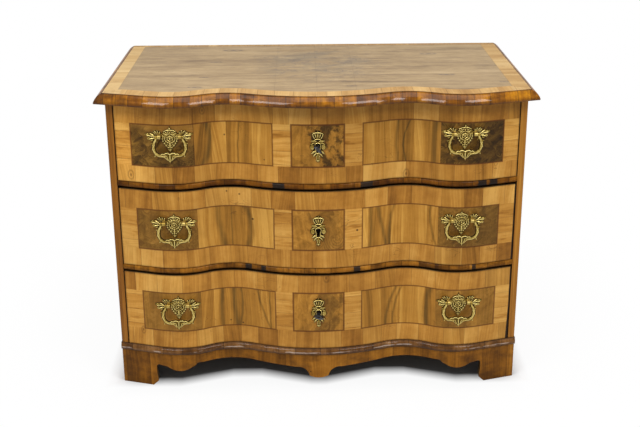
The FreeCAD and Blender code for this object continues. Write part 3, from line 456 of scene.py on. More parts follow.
def drawer_face(level):
    """Veneered drawer front: framed panels, cross-banded borders, stringing and edges."""
    s = Shader(level + "_drawer_veneer", Specular_IOR_Level=0.15)
    low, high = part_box(level + "_drawer_front")
    seed = SEEDS[level]
    x, z = s.x, s.z - (low.z + high.z) / 2 + 0.0005
    wob = (s.noise(x * 6, z * 6, seed, 1) - 0.5) * 0.0016
    ax, az = abs(x) + wob, abs(z) + wob

    # borders above and below: upright grain, pieces of uneven width
    r1, r2, edge_up = s.pieces(x, 0.062, seed * 3.7 + 1.3)
    q1, q2, edge_low = s.pieces(x, 0.055, seed * 2.9 + 21.7)
    upper = s.above(z, 0.0, 0.001)
    p1, p2, edge = blend(upper, q1, r1), blend(upper, q2, r2), blend(upper, edge_low, edge_up)
    tone, pore = grain(s, z * 0.5, x + z * (p1 - 0.5) * 0.3, p1 * 17 + seed, 0.02, 4.0)
    mottle = s.noise(x * 26, z * 26, seed + 2.0, 4, 0.65) - 0.5
    s.colour = s.ramp((tone - 0.5) * 0.6 + 0.55 + (p2 - 0.5) * 0.36 + mottle * 0.35, HONEY)
    s.paint(s.above(p1, 0.55, 0.02) * (p2 * 0.4 + 0.15), s.ramp(tone, OLIVE))
    # upright strips: level grain, stacked pieces, curly streaks
    side_seed = s.above(x, 0.0, 0.001) * 7 + s.above(ax, 0.3, 0.001) * 3
    r3, r4, edge_v = s.pieces(z, 0.04, side_seed + seed * 5.1)
    tone_v, _ = grain(s, x * 0.6, z, r3 * 19 + side_seed, 0.05, 8.0)
    curls = s.above(s.noise(x * 12, z * 60 + r3 * 9, seed, 3, 0.6), 0.58, 0.1)
    strip = s.ramp((tone_v - 0.5) * 0.6 + 0.66 + (r4 - 0.5) * 0.18 - curls * 0.16 + mottle * 0.2,
                   HONEY)
    # light panels: leaves with upright grain, each leaning its own way, and olive bands
    leaf = s.steps(x, LEAVES[level])
    jitter = (s.noise(x * 3, z * 22, seed + 8, 2) - 0.5) * 0.008
    leaning = x + z * (leaf - 0.5) * 0.5
    tone_p, _ = grain(s, z * 0.6, leaning, leaf * 13 + seed, 0.08, 4.0)
    bands = [s.below(abs(x - place - z * lean - z * z * bend + jitter), wide * 0.85, wide * 1.5)
             for place, lean, bend, wide in STREAKS[level]]
    fine = s.noise(leaning * 420, z * 5, seed + 1.0, 2, 0.6)
    olive = s.most(*bands) * (fine * 1.4 + 0.1)
    panel = s.ramp((tone_p - 0.5) * 0.8 + leaf * 0.9 + 0.1 + mottle * 0.2 - olive * 0.2, OLIVE)
    panel = s.mix(olive * 0.4, panel, (96, 78, 34))
    # walnut squares under the handles, with a lighter leaf along the top of the left one and
    # a darker end on the right one
    darkness, plain, blotchy, brown = SQUARES[level]
    swirls = burr(s, x, z, seed * 1.7 + s.above(x, 0.0) * 3, 1.6)
    threads = s.noise(x * 60 + swirls * 9, z * 60 + swirls * 7, seed, 4, 0.7)
    dark = s.ramp(swirls * 0.8 + threads * 0.8 - darkness, WALNUT)
    dark = s.mix(plain, dark, s.ramp(tone_p * 0.8 + 0.1, OLIVE))
    top_leaf = s.above(z + (x + 0.477) * 0.3 + mottle * 0.03, 0.056, 0.02) * s.below(x, 0.0)
    dark = s.mix(top_leaf * (0.55 - plain), dark, s.ramp(tone_v, HONEY))
    dark = s.shade(dark, 1 - s.above(x - z * 0.2 + mottle * 0.02, 0.415, 0.012) * brown)
    # walnut square round the keyhole
    key_tone = burr(s, x * 1.3, z, seed + 30, 1.6)
    patchy = s.noise(x * 18, z * 14, seed + 12, 4, 0.7)
    blotch = s.above(patchy - abs(x - 0.02 + z * 0.1) * 4.2, 0.39, 0.08)
    key_panel = s.mix(blotch * blotchy, s.ramp(key_tone * 0.6 + tone_p * 0.4, OLIVE),
                      s.ramp(key_tone * 0.9 + threads * 0.5 - 0.46, WALNUT))
    if level == "middle":
        ring = s.math("SQRT", (x - 0.05) * (x - 0.05) + (z + 0.02) * (z + 0.02) * 0.5)
        rings = s.below(abs(s.math("SINE", (ring + jitter * 0.4) * 560)), 0.35, 0.5)
        corner = s.below(z, -0.02, 0.02) * s.above(x, 0.012, 0.01)
        key_panel = s.mix(rings * corner * 0.5, key_panel, (70, 50, 22))

    in_rows = s.below(az, PANEL_HALF)
    left, right = PANEL_OUTER[level]
    outer = s.above(x, 0.0) * (right - left) + left
    in_dark = in_rows * s.above(ax, PANEL_SPLIT) * s.below(ax - outer, 0.0)
    in_panel = in_rows * s.above(ax, PANEL_INNER) * s.below(ax, PANEL_SPLIT)
    in_key = in_rows * s.below(ax, KEY_PANEL)
    in_strip = in_rows - in_dark - in_panel - in_key
    s.paint(in_strip, strip)
    for place, size in FRONT_KNOTS[level]:
        s.paint(knot(s, x, z, place, size) * 0.6, (70, 40, 14))
    s.paint(in_panel, panel)
    s.paint(in_dark, dark)
    s.paint(in_key, key_panel)

    # joints, of which one stands open on the upper drawer, and stringing
    joint = s.least(edge + in_rows, edge_v + (1 - in_strip))
    if level == "upper":
        open_joint = abs(x + PANEL_SPLIT + 0.001) + s.below(z, -PANEL_HALF)
        joint = s.least(joint, open_joint - 0.0006)
    s.line(joint, 0.0004, 0.0006, 0.6, JOINT)
    past_rows = az - PANEL_HALF
    frame_p = s.most(abs(ax - (outer + PANEL_INNER) / 2) - (outer - PANEL_INNER) / 2, past_rows)
    frame_k = s.most(ax - KEY_PANEL, past_rows)
    s.line(s.least(abs(frame_p), abs(frame_k) - 0.0005), 0.0016, 0.002, 0.85, STRING)
    s.line(abs(ax - PANEL_SPLIT), 0.0004, 0.0005, in_rows * 0.5, STRING)

    # wear and painted light: cracks, the painted shade of the gap at the right, darker along the
    # edges, clouds, the painted light and shade of SHADES, worm holes
    crack = abs(s.noise(x * 7, z * 16, seed + 14, 3, 0.6) - 0.5)
    cracked = s.above(s.noise(x * 9, z * 9, seed + 15, 1), 0.6, 0.05)
    s.line(crack, 0.0025, 0.004, cracked * 0.5, (70, 40, 12))
    # painted shade of the gap beside the right end, a dark wedge widening downwards
    if level in PAINTED_GAP_WEDGES:
        wedge = 0.0022 + s.most(z * -1, 0.0) * PAINTED_GAP_WEDGES[level]
        s.paint(s.above(x + wedge, high.x, 0.0006), GAP_SHADE)
    rim = s.least(s.z - low.z, high.z - s.z, high.x - abs(x))
    s.line(rim, 0.0015, 0.005, 0.6, (64, 36, 10))
    cloud = s.noise(x * 4, z * 7, seed + 4.0, 3) - 0.5
    # painted light and shade: the top's shadow near the top, a lighter left end, darker right of
    # the middle
    painted_shade_under_top, left_end, middle = SHADES[level]
    light = (cloud * 0.4 + 1.0 - s.above(z, 0.05, 0.05) * painted_shade_under_top
             + s.below(x, -0.45, 0.06) * left_end - s.below(abs(x - 0.13), 0.2, 0.04) * middle)
    s.colour = s.shade(s.colour, light)
    holes = s.spots(x, s.y, z, 0.034, 0.08, seed)
    s.paint(holes * 0.8, (40, 23, 10))
    s.paint(pore * 0.14, (92, 54, 20))

    # everything that isn't the veneered face is bare wood; its top edge is darkened as painted
    # shade
    face = s.above(s.ny * -1, 0.3, 0.05)
    pine, _ = softwood(s, x, s.z + s.y, seed)
    s.paint(1 - face, s.shade(pine, 0.95 - s.above(s.nz, 0.5, 0.05) * 0.75))
    scuffs_and_sheen = s.noise(x * 9, z * 9, seed + 6, 4, 0.6)
    relief = tone * 0.5 - holes * 3 - s.below(joint, 0.0003, 0.0005)
    return s.finish(0.62 - face * 0.25 + scuffs_and_sheen * 0.12, relief, 0.0004, 0.6)


# ---- materials of the case
def case_side():
    """Sides: veneered and banded outside, rounded stile in front, bare inside."""
    s = Shader("case_walnut", Coat_Weight=0.05, Coat_Roughness=0.25, Specular_IOR_Level=0.15)
    low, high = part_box("side_right")
    y, z = s.y - (low.y + high.y) / 2, s.z - (low.z + high.z) / 2 - 0.01
    half_y, half_z = (high.y - low.y) / 2 - 0.075, (high.z - low.z) / 2 - 0.08
    tone, _ = grain(s, z * 0.8, y, s.above(s.x, 0.0) * 5 + 2.0, 0.08, 3.0)
    match = burr(s, abs(y) * 0.8, z * 0.6, 14.0, 0.6)
    s.colour = s.ramp(tone * 0.6 + match * 0.4, HONEY)
    s.paint(0.35, s.ramp(match, WALNUT))
    r1, r2, edge_r = s.pieces(y, 0.06, 3.0)
    r3, r4, edge_s = s.pieces(z, 0.06, 8.0)
    past = s.most(abs(y) - half_y, abs(z) - half_z)
    rows = s.above(abs(z) - half_z, 0.0)
    tone_r, _ = grain(s, z, y, r1 * 7)
    tone_s, _ = grain(s, y, z, r3 * 7)
    band = blend(rows, tone_s, tone_r) + blend(rows, r4, r2) * 0.3 - 0.13
    banded = s.above(past, 0.0)
    joint = s.least(edge_r + (1 - rows), edge_s + rows, abs(y) + banded)
    s.paint(banded, s.ramp(band, HONEY))
    s.line(joint, 0.0004, 0.0005, 0.5, JOINT)
    s.line(abs(past), 0.0013, 0.0007, 0.85, STRING)
    # stile: upright reddish strip on the rounded front edge
    tone_e, _ = grain(s, s.z * 0.6, s.x + s.y, 4.4)
    s.paint(s.above(s.ny * -1, 0.35, 0.1), s.ramp(tone_e, STILE))
    inward = s.above(s.nx * s.math("SIGN", s.x) * -1, 0.5, 0.05)
    pine, _ = softwood(s, s.z, s.y, 6.0)
    s.paint(s.most(inward, s.above(s.ny, 0.5, 0.05)), s.shade(pine, 0.7))
    # painted shade: the inner faces turn near black towards the front, where the drawer gaps show
    # them
    s.line(s.y, low.y + 0.045, 0.03, inward * 0.9, GAP_SHADE)
    dirt = s.noise(s.x * 9, s.y * 9, s.z * 9, 4, 0.6)
    s.colour = s.shade(s.colour, dirt * 0.4 + 0.8)
    return s.finish(0.3 + dirt * 0.16, tone, 0.0003, 0.4)


def plinth():
    """Plinth: upright grain, mitred corners, dirty and worm-eaten, bare inside and darkened there
    as painted shade.
    """
    s = Shader("plinth_walnut", Coat_Weight=0.05, Coat_Roughness=0.25, Specular_IOR_Level=0.08)
    side = s.above(abs(s.x) - 0.5395, 0.0, 0.0005)
    run = blend(side, s.x, s.y)
    r1, r2, edge = s.pieces(run, 0.075, 2.0)
    tone, _ = grain(s, s.z, run, r1 * 5 + 2, 0.04, 5.0)
    blotch = s.noise(s.x * 20, s.y * 20, s.z * 26, 4, 0.65) - 0.5
    s.colour = s.ramp((tone - 0.5) * 0.55 + 0.54 + (r2 - 0.5) * 0.26 + blotch * 0.4, PLINTH)
    mitre = abs(abs(s.x) - 0.528) + s.above(s.z, 0.098) + side
    s.line(s.least(edge, mitre), 0.0004, 0.0006, 0.5, (40, 20, 8))
    block = abs(abs(s.x) - 0.487) + s.above(s.z, 0.04) + side
    s.line(block, 0.0003, 0.0006, 0.4, (40, 20, 8))
    holes = s.spots(s.x, s.y * 0.5, s.z, 0.02, 0.16, 2.0)
    s.paint(holes * 0.85, (30, 16, 8))
    dirt = s.noise(s.x * 14, s.y * 14, s.z * 22, 4, 0.62)
    low = s.below(s.z, 0.014, 0.04)
    s.paint(s.above(dirt + low * 0.1, 0.56, 0.16) * 0.45, (48, 26, 12))
    # painted shade: the inner faces are bare pine darkened to a quarter
    outward = s.most(s.ny * -1, s.nx * s.math("SIGN", s.x) * side)
    pine, _ = softwood(s, s.x + s.y, s.z, 3.0)
    s.line(outward, 0.3, 0.05, 1.0, s.shade(pine, 0.25))
    return s.finish(0.34 + dirt * 0.2, tone - holes * 3, 0.0005, 0.6)


def bare(name, along, seed, tint=1.0):
    """Unpolished pine, with its grain along X, Y or Z."""
    s = Shader(name, Specular_IOR_Level=0.3)
    axes = {"x": s.x, "y": s.y, "z": s.z}
    run = axes.pop(along)
    second, third = axes.values()
    pine, fibre = softwood(s, run, second + third * 1.3, seed)
    saw = s.noise(run * 160, second * 5, third * 5, 1)
    dirt = s.noise(s.x * 6, s.y * 6, s.z * 6, 4, 0.6)
    s.colour = s.shade(pine, (dirt * 0.5 + 0.75) * tint)
    return s.finish(0.62 + dirt * 0.2, fibre + saw * 0.6, 0.0006, 0.6)


def brass(name, worn=None):
    """Cast brass: dark in its hollows, rubbed on its high parts. Without a level of wear, the
    mesh says in its attribute `relief` how rubbed it is."""
    s = Shader(name, Metallic=0.85, Specular_IOR_Level=0.4)
    patina = s.noise(s.x * 60, s.y * 60, s.z * 60, 4, 0.6)
    skin = s.noise(s.x * 700, s.y * 700, s.z * 700, 2)
    if worn is None:
        relief = s.add("ShaderNodeAttribute", {"attribute_name": "relief"})
        rubbed = Val(s, relief.outputs["Fac"])
    else:
        rubbed = s.above(s.pointiness, 0.505, 0.05) * 0.4 + worn
    s.colour = s.ramp(rubbed * 0.95 + (patina - 0.5) * 0.5 - 0.02,
                      ((0.14, (38, 27, 5)), (0.38, (108, 84, 26)), (0.6, (162, 133, 56)),
                       (0.86, (228, 206, 128))))
    return s.finish(0.44 - rubbed * 0.14 + patina * 0.1, skin, 0.0003, 0.4)


def iron(name, low_tone, high_tone, rough):
    """Iron or steel, from a dark to a light tone."""
    s = Shader(name, Metallic=1.0)
    rust = s.noise(s.x * 90, s.y * 90, s.z * 90, 4, 0.65)
    fine = s.noise(s.x * 900, s.y * 900, s.z * 900, 2)
    s.colour = s.ramp(rust, ((0.3, low_tone), (0.7, high_tone)))
    return s.finish(rough + rust * 0.2, fine, 0.0003, 0.5)


# ---- materials on the CAD nodes
def dress(node, material):
    for slot in NODES[node].material_slots:
        slot.material = material


dress("top_veneer_field", top_veneer("top_walnut", False))
dress("top_crossbanding", top_veneer("crossbanding", True))
for parts, run, stops, coat in ((("front",), "x", REDDISH, 0.45),
                                (("left", "right"), "y", STILE, 0.1)):
    edge_wood = moulding("top_moulding_" + run, "top_moulding_front", stops, 0.036, 2.0, run,
                         0.24, coat)
    base_wood = moulding("base_moulding_" + run, "base_moulding_front", WORN, 0.05, 6.0, run,
                         0.3, 0.25, scuffs_and_sheen=0.6)
    for part in parts:
        dress("top_moulding_" + part, edge_wood)
        dress("base_moulding_" + part, base_wood)
LOSSES = {"upper": ((-0.1175, -0.086), (0.11, 0.142), (0.414, 0.4365), (0.445, 0.466)),
          "lower": ((-0.194, -0.177), (-0.152, -0.139), (0.094, 0.111), (0.407, 0.418))}
for rail, stops in (("upper", DARK_RED), ("lower", PLINTH)):
    node = "divider_rail_" + rail
    dress(node, moulding(rail + "_rail", node, stops, 0.045, 4.0, "x", 0.4, 0.05, LOSSES[rail]))
side_wood = case_side()
for side in ("left", "right"):
    dress("side_" + side, side_wood)
plinth_wood = plinth()
for part in ("front", "left", "right"):
    dress("plinth_" + part, plinth_wood)
# the low tints of the bottom board, the foot blocks and the rear feet are painted shade under the
# chest
for node, along, seed, tint in (("back_boards", "x", 1.0, 0.85), ("bottom_board", "x", 2.0, 0.3),
                                ("top_board", "x", 3.0, 0.85), ("drawer_runners", "y", 4.0, 0.85),
                                ("drawer_stops", "y", 5.0, 0.85), ("rear_feet", "x", 6.0, 0.6),
                                ("foot_blocks", "z", 7.0, 0.3)):
    dress(node, bare(node + "_pine", along, seed, tint))
relief_brass = brass("relief_brass")
post_brass = brass("post_brass", 0.35)
lock_iron = iron("lock_iron", (44, 42, 40), (92, 88, 84), 0.4)
key_steel = iron("key_steel", (44, 44, 48), (112, 112, 118), 0.3)
for index, level in enumerate(LEVELS):
    dress(level + "_drawer_front", drawer_face(level))
    for part, along, seed in (("sides", "y", 11.0), ("back", "x", 15.0), ("bottom", "x", 19.0)):
        dress(level + "_drawer_" + part, bare(level + "_" + part + "_pine", along, index + seed))
    for part, metal in (("handle_posts", post_brass), ("post_nuts", post_brass),
                        ("lock_case", lock_iron), ("lock_bolt", lock_iron), ("key", key_steel)):
        if level + "_" + part in NODES:
            dress(level + "_" + part, metal)


# ---- cast brass
CELL = 0.8          # grid of the reliefs, mm
EDGE = 1.1          # thickness of a plate at its edge, mm
SEAT = 0.2          # between a plate and the veneer, mm
RIM_HALF = 0.4      # half the thickness of a bail at its outline, mm
BACK_RISE = 0.8     # how far a bail's back bulges, as a share of its front
RIM_TONE = 0.28     # how rubbed the metal is along an outline
TURNED_TONE = 0.6   # how rubbed the turned bosses and pins are


def smooth_line(points, steps=7):
    """Catmull-Rom line through a few points."""
    p = np.array(points, float)
    p = np.vstack([2 * p[0] - p[1], p, 2 * p[-1] - p[-2]])
    out = []
    for a, b, c, d in zip(p[:-3], p[1:-2], p[2:-1], p[3:]):
        for t in np.arange(steps) / steps:
            out.append(0.5 * (2 * b + (c - a) * t + (2 * a - 5 * b + 4 * c - d) * t * t
                              + (3 * b - a - 3 * c + d) * t ** 3))
    return np.array(out + [p[-2]])


def smear(values, reach=4):
    """Mean over a small square round each cell."""
    rows, cols = values.shape
    size = 2 * reach + 1
    padded = np.pad(values, reach)
    return sum(padded[i:i + rows, j:j + cols] for i in range(size) for j in range(size)) / size ** 2


def dome(share, height, dip, narrow):
    """Round rise from its rim (share 1) to its middle (share 0), where it may dip again."""
    return height * np.sqrt(np.clip(1 - share ** 2, 0, 1)) - dip * np.exp(-(share * narrow) ** 2)


class Relief:
    """Cast shape, alike on both sides of its middle line, as heights over a fine grid (mm)."""

    def __init__(self, half_width, low, high):
        count = math.ceil(half_width / CELL)
        across = np.linspace(-count * CELL, count * CELL, 2 * count + 1)
        self.u, self.v = np.meshgrid(across, np.arange(low, high + CELL, CELL))
        self.away = abs(self.u)
        self.inside = np.full(self.u.shape, -9.0)
        self.height = np.zeros(self.u.shape)

    def put(self, inside, height):
        self.height = np.maximum(self.height, np.where(inside > 0, height, 0))
        self.inside = np.maximum(self.inside, inside)

    def from_segment(self, a, b):
        """Share of the way from a to b, and the distance from that stretch."""
        run = b - a
        du, dv = self.away - a[0], self.v - a[1]
        t = np.clip((du * run[0] + dv * run[1]) / max(run @ run, 1e-9), 0, 1)
        return t, np.hypot(du - t * run[0], dv - t * run[1])

    def from_centre(self, place, radii):
        """Distance from the middle of an ellipse, 1 on its outline."""
        return np.hypot((self.away - place[0]) / radii[0], (self.v - place[1]) / radii[1])

    def blade(self, points, widths, height, groove=0.0):
        """Bar or leaf along a smooth line, round on top, with a groove down its middle."""
        line = smooth_line(points)
        wide = np.interp(np.linspace(0, 1, len(line)), np.linspace(0, 1, len(widths)), widths)
        inside = np.full(self.u.shape, -9.0)
        share = np.ones(self.u.shape)
        for a, b, wa, wb in zip(line[:-1], line[1:], wide[:-1], wide[1:]):
            t, off = self.from_segment(a, b)
            reach = wa + (wb - wa) * t
            nearer = reach - off > inside
            inside = np.where(nearer, reach - off, inside)
            share = np.where(nearer, off / reach, share)
        self.put(inside, dome(share, height, groove, 4))

    def disc(self, place, radii, height, dish=0.0):
        share = self.from_centre(place, radii)
        self.put((1 - share) * min(radii), dome(share, height, dish, 2))

    def leaf(self, outline, height, bevel=2.0):
        """Flat leaf inside a smooth outline, which runs from the middle line back to it."""
        line = smooth_line(outline, 4)
        line = np.vstack([(-6, line[0][1]), line, (-6, line[-1][1])])
        off = np.full(self.u.shape, 99.0)
        within = np.zeros(self.u.shape, bool)
        for a, b in zip(line, np.roll(line, -1, 0)):
            off = np.minimum(off, self.from_segment(a, b)[1])
            if abs(b[1] - a[1]) > 1e-9:
                crosses = (self.v >= a[1]) != (self.v >= b[1])
                place = a[0] + (b[0] - a[0]) * (self.v - a[1]) / (b[1] - a[1])
                within ^= crosses & (self.away < place)
        inside = np.where(within, off, -off)
        short = np.clip(1 - inside / bevel, 0, 1)
        self.put(inside, height * np.sqrt(1 - short ** 2))

    def hatch(self, reach, spacing, depth):
        """Crossed, curling ridges on the middle of the plate."""
        bend = 0.9 * np.sin(self.v * 1.7 / spacing) + 0.7 * np.sin(self.away * 2.3 / spacing)
        wave = abs(np.sin((self.away + self.v) * math.pi / spacing + bend)
                   * np.sin((self.away - self.v) * math.pi / spacing - bend))
        self.height += np.where(self.away < reach, depth * wave, 0)

    def hole(self, place, radii):
        self.inside = np.minimum(self.inside, (self.from_centre(place, radii) - 1) * min(radii))

    def slot(self, half_width, low, high):
        off = np.maximum(self.away - half_width, np.maximum(low - self.v, self.v - high))
        self.inside = np.minimum(self.inside, off)

    def rubbed(self, solid):
        """How bright the metal is: its height, and more so its height over what is near."""
        near = smear(self.height * solid) / np.maximum(smear(solid * 1.0), 0.01)
        share = self.height / self.height.max()
        return np.clip(0.26 + 0.4 * share + 0.62 * (self.height - near), 0, 1)

    def cells(self):
        """Flat mesh of all that is inside: rows of (u, v, height, tone), faces, outer edges."""
        solid = self.inside > 0
        grid = np.dstack([self.u, self.v, self.height, self.rubbed(solid)])
        rows, faces, known = [], [], {}

        def vertex(key, row):
            if key not in known:
                known[key] = len(rows)
                rows.append(row)
            return known[key]

        touched = solid[:-1, :-1] | solid[1:, :-1] | solid[:-1, 1:] | solid[1:, 1:]
        for i, j in np.argwhere(touched):
            ring = [(i, j), (i, j + 1), (i + 1, j + 1), (i + 1, j)]
            face = []
            for a, b in zip(ring, ring[1:] + ring[:1]):
                if solid[a]:
                    face.append(vertex(a, grid[a]))
                if solid[a] != solid[b]:
                    t = self.inside[a] / (self.inside[a] - self.inside[b])
                    u, v = grid[a][:2] + (grid[b][:2] - grid[a][:2]) * t
                    face.append(vertex((min(a, b), max(a, b)), (u, v, 0.0, RIM_TONE)))
            faces.append(face)
        edges = dict.fromkeys((a, b) for face in faces for a, b in zip(face, face[1:] + face[:1]))
        return np.array(rows), faces, [(a, b) for a, b in edges if (b, a) not in edges]


def cast(name, cells, x, z, front, back, more=()):
    """Closed mesh between a front and a back that depend on the place and the height."""
    rows, faces, rim = cells
    count = len(rows)
    across, up, rise = rows[:, 0] * MM + x, rows[:, 1] * MM + z, rows[:, 2] * MM
    points = np.vstack([np.column_stack([across, depth(across, rise), up])
                        for depth in (front, back)]).tolist()
    polygons = faces + [[count + v for v in reversed(face)] for face in faces]
    polygons += [[b, a, count + a, count + b] for a, b in rim]
    relief = list(rows[:, 3]) * 2
    for extra_points, extra_polygons in more:
        start = len(points)
        points += extra_points
        polygons += [[start + v for v in face] for face in extra_polygons]
        relief += [TURNED_TONE] * len(extra_points)
    mesh = bpy.data.meshes.new(name)
    mesh.from_pydata(points, [], polygons)
    mesh.attributes.new("relief", "FLOAT", "POINT").data.foreach_set("value", relief)
    mesh.shade_smooth()
    mesh.set_sharp_from_angle(angle=math.radians(62))
    mesh.materials.append(relief_brass)
    obj = bpy.data.objects.new(name, mesh)
    bpy.context.scene.collection.objects.link(obj)
    return obj


def face_line(level):
    """Depth of a drawer's veneered face at a distance from the middle, from its CAD node."""
    mesh = NODES[level + "_drawer_front"].data
    found = {}
    for polygon in mesh.polygons:
        if polygon.normal.y < -0.3:
            for index in polygon.vertices:
                point = mesh.vertices[index].co
                found[round(point.x, 6)] = point.y
    xs = sorted(found)
    return lambda x: np.interp(x, xs, [found[place] for place in xs])


def handle_plate():
    """Crowned shield between two leafy wings, with a ruffled lower edge and a pendant."""
    r = Relief(46, -44, 25)
    r.leaf([(0, 14.5), (8, 14), (16, 11.5), (18.6, 7), (18.2, 2), (19.6, -4), (20.8, -10),
            (18.6, -17), (13, -25), (7.5, -31), (5.5, -37), (3.5, -41.5), (0, -42.5)], 1.6)
    r.leaf([(0, 3), (20, 4), (23, 10), (30, 12.5), (37, 12.8), (42.6, 10.5), (41, 4), (34, -2),
            (28, -6.5), (22, -6), (0, -4)], 2.0)
    r.hatch(19, 7.2, 1.3)
    # crown: finial, bar, beads and foot
    r.blade([(0, 14), (0, 24)], (1.9, 1.0), 2.8)
    r.disc((0, 19.4), (2.8, 2.1), 3.4)
    r.blade([(0, 15.4), (8, 14.6), (15.2, 11)], (2.1, 2.0, 1.6), 3.6)
    r.blade([(0, 5.6), (6, 5.0), (12.5, 3.0)], (1.2, 1.2, 1.1), 3.4)
    for place in ((0, 10.5), (4.8, 10.2), (9.4, 8.8), (14, 6.4)):
        r.disc(place, (1.8, 2.0), 3.6)
    # wings: shoulder, boss and ribs
    r.blade([(15, -0.5), (20, 1.5), (26, 0.5)], (2.6, 4.2, 4.6), 2.8, 0.7)
    r.disc((26, 0), (6.4, 6.2), 2.8)
    r.disc((26, 0), (3.4, 3.4), 3.6)
    for (tip_u, tip_v), wide in (((24.5, 10.4), 1.6), ((31, 12.6), 2.0), ((38.4, 12.2), 2.1),
                                 ((42.2, 9.0), 1.8)):
        bend = ((23 + tip_u) / 2 + 1.4, (2 + tip_v) / 2 - 0.6)
        r.blade([(23, 2), bend, (tip_u, tip_v)], (1.2, wide * 1.25, 1.6), 3.5)
    r.blade([(27, -4.0), (33, -1.4), (39, 3.6)], (2.0, 2.4, 1.6), 3.2)
    # shield: frame, rosette and drapery
    r.blade([(0, -0.5), (7.2, -7.5), (0, -14.5)], (1.0, 1.3, 1.0), 3.6)
    r.disc((0, -7.5), (3.0, 3.0), 3.9)
    r.blade([(5, -17), (11.5, -12), (13.6, -3)], (1.3, 1.6, 1.2), 3.4)
    for place in ((17.6, -1.5), (18.6, -7.5), (17.4, -13.2), (13.8, -19.4), (9.6, -25)):
        r.disc(place, (2.7, 2.9), 3.7, 0.9)
    # pendant
    r.blade([(0, -18), (0, -25), (0, -32)], (2.8, 2.6, 1.8), 3.4, 0.5)
    r.disc((4.8, -30.5), (2.3, 3.0), 3.3)
    r.disc((0, -37.5), (3.6, 4.6), 3.8, 0.5)
    return r.cells()


def keyhole_plate(hole_radius, slot_half, slot_low):
    """Crowned keyhole plate with scrolled cheeks and a leafy tail."""
    r = Relief(22, -42, 43)
    # crown
    r.blade([(0, 32), (0, 25), (0, 19)], (9.5, 8.5, 6.5), 1.5)
    r.hatch(9, 3.0, 0.5)
    r.blade([(0, 34), (0, 41)], (1.5, 0.8), 2.2)
    r.blade([(0, 35.6), (7, 35.0), (13.6, 32.4)], (1.8, 1.9, 1.4), 3.2)
    r.blade([(13.4, 32.4), (11.4, 26), (8.2, 20.6)], (1.9, 1.5, 1.7), 2.8)
    for spread in (0, 4.6):
        r.blade([(spread, 23), (spread * 1.5, 31)], (1.0, 1.5), 2.8)
    r.blade([(0, 19), (4.5, 18.2), (8.6, 16.0)], (1.5, 1.5, 1.2), 3.2)
    # body, horns, cheeks and the rim of the keyhole
    r.blade([(0, 18), (0, 8), (0, -6), (0, -16), (0, -24)], (6.5, 10.5, 12.5, 11, 6), 1.7)
    r.blade([(5, 12.5), (10.5, 13.8), (16.4, 14.6)], (2.6, 3.2, 1.3), 3.1, 0.6)
    r.blade([(8, 9), (13, 8), (17, 5)], (2.0, 2.4, 2.0), 2.8, 0.4)
    r.disc((14.6, -2.2), (6.2, 7.6), 3.6, 1.6)
    r.disc((14.6, -2.2), (2.2, 2.8), 3.0)
    r.blade([(0, 9.2), (6.2, 6.4), (7.4, 0), (5.4, -7.5), (4.6, -16.4), (0, -18.6)],
            (1.3, 1.4, 1.4, 1.3, 1.3, 1.3), 3.6)
    # tail
    r.blade([(7, -13), (12, -15.6), (16.6, -19.4)], (2.6, 3.1, 1.1), 3.2, 0.6)
    r.blade([(5, -19), (9, -22.5), (12.4, -28)], (2.6, 2.5, 0.9), 3.0, 0.5)
    r.blade([(0, -20), (0, -30), (0, -38.6)], (4.6, 3.2, 3.6), 2.4)
    r.blade([(4.0, -25), (2.8, -31), (4.2, -37.6)], (1.3, 1.1, 1.3), 3.2)
    r.disc((0, -37.2), (3.2, 3.4), 3.6, 0.5)
    r.hole((0, 0), (hole_radius, hole_radius))
    r.slot(slot_half, slot_low, 0)
    return r.cells()


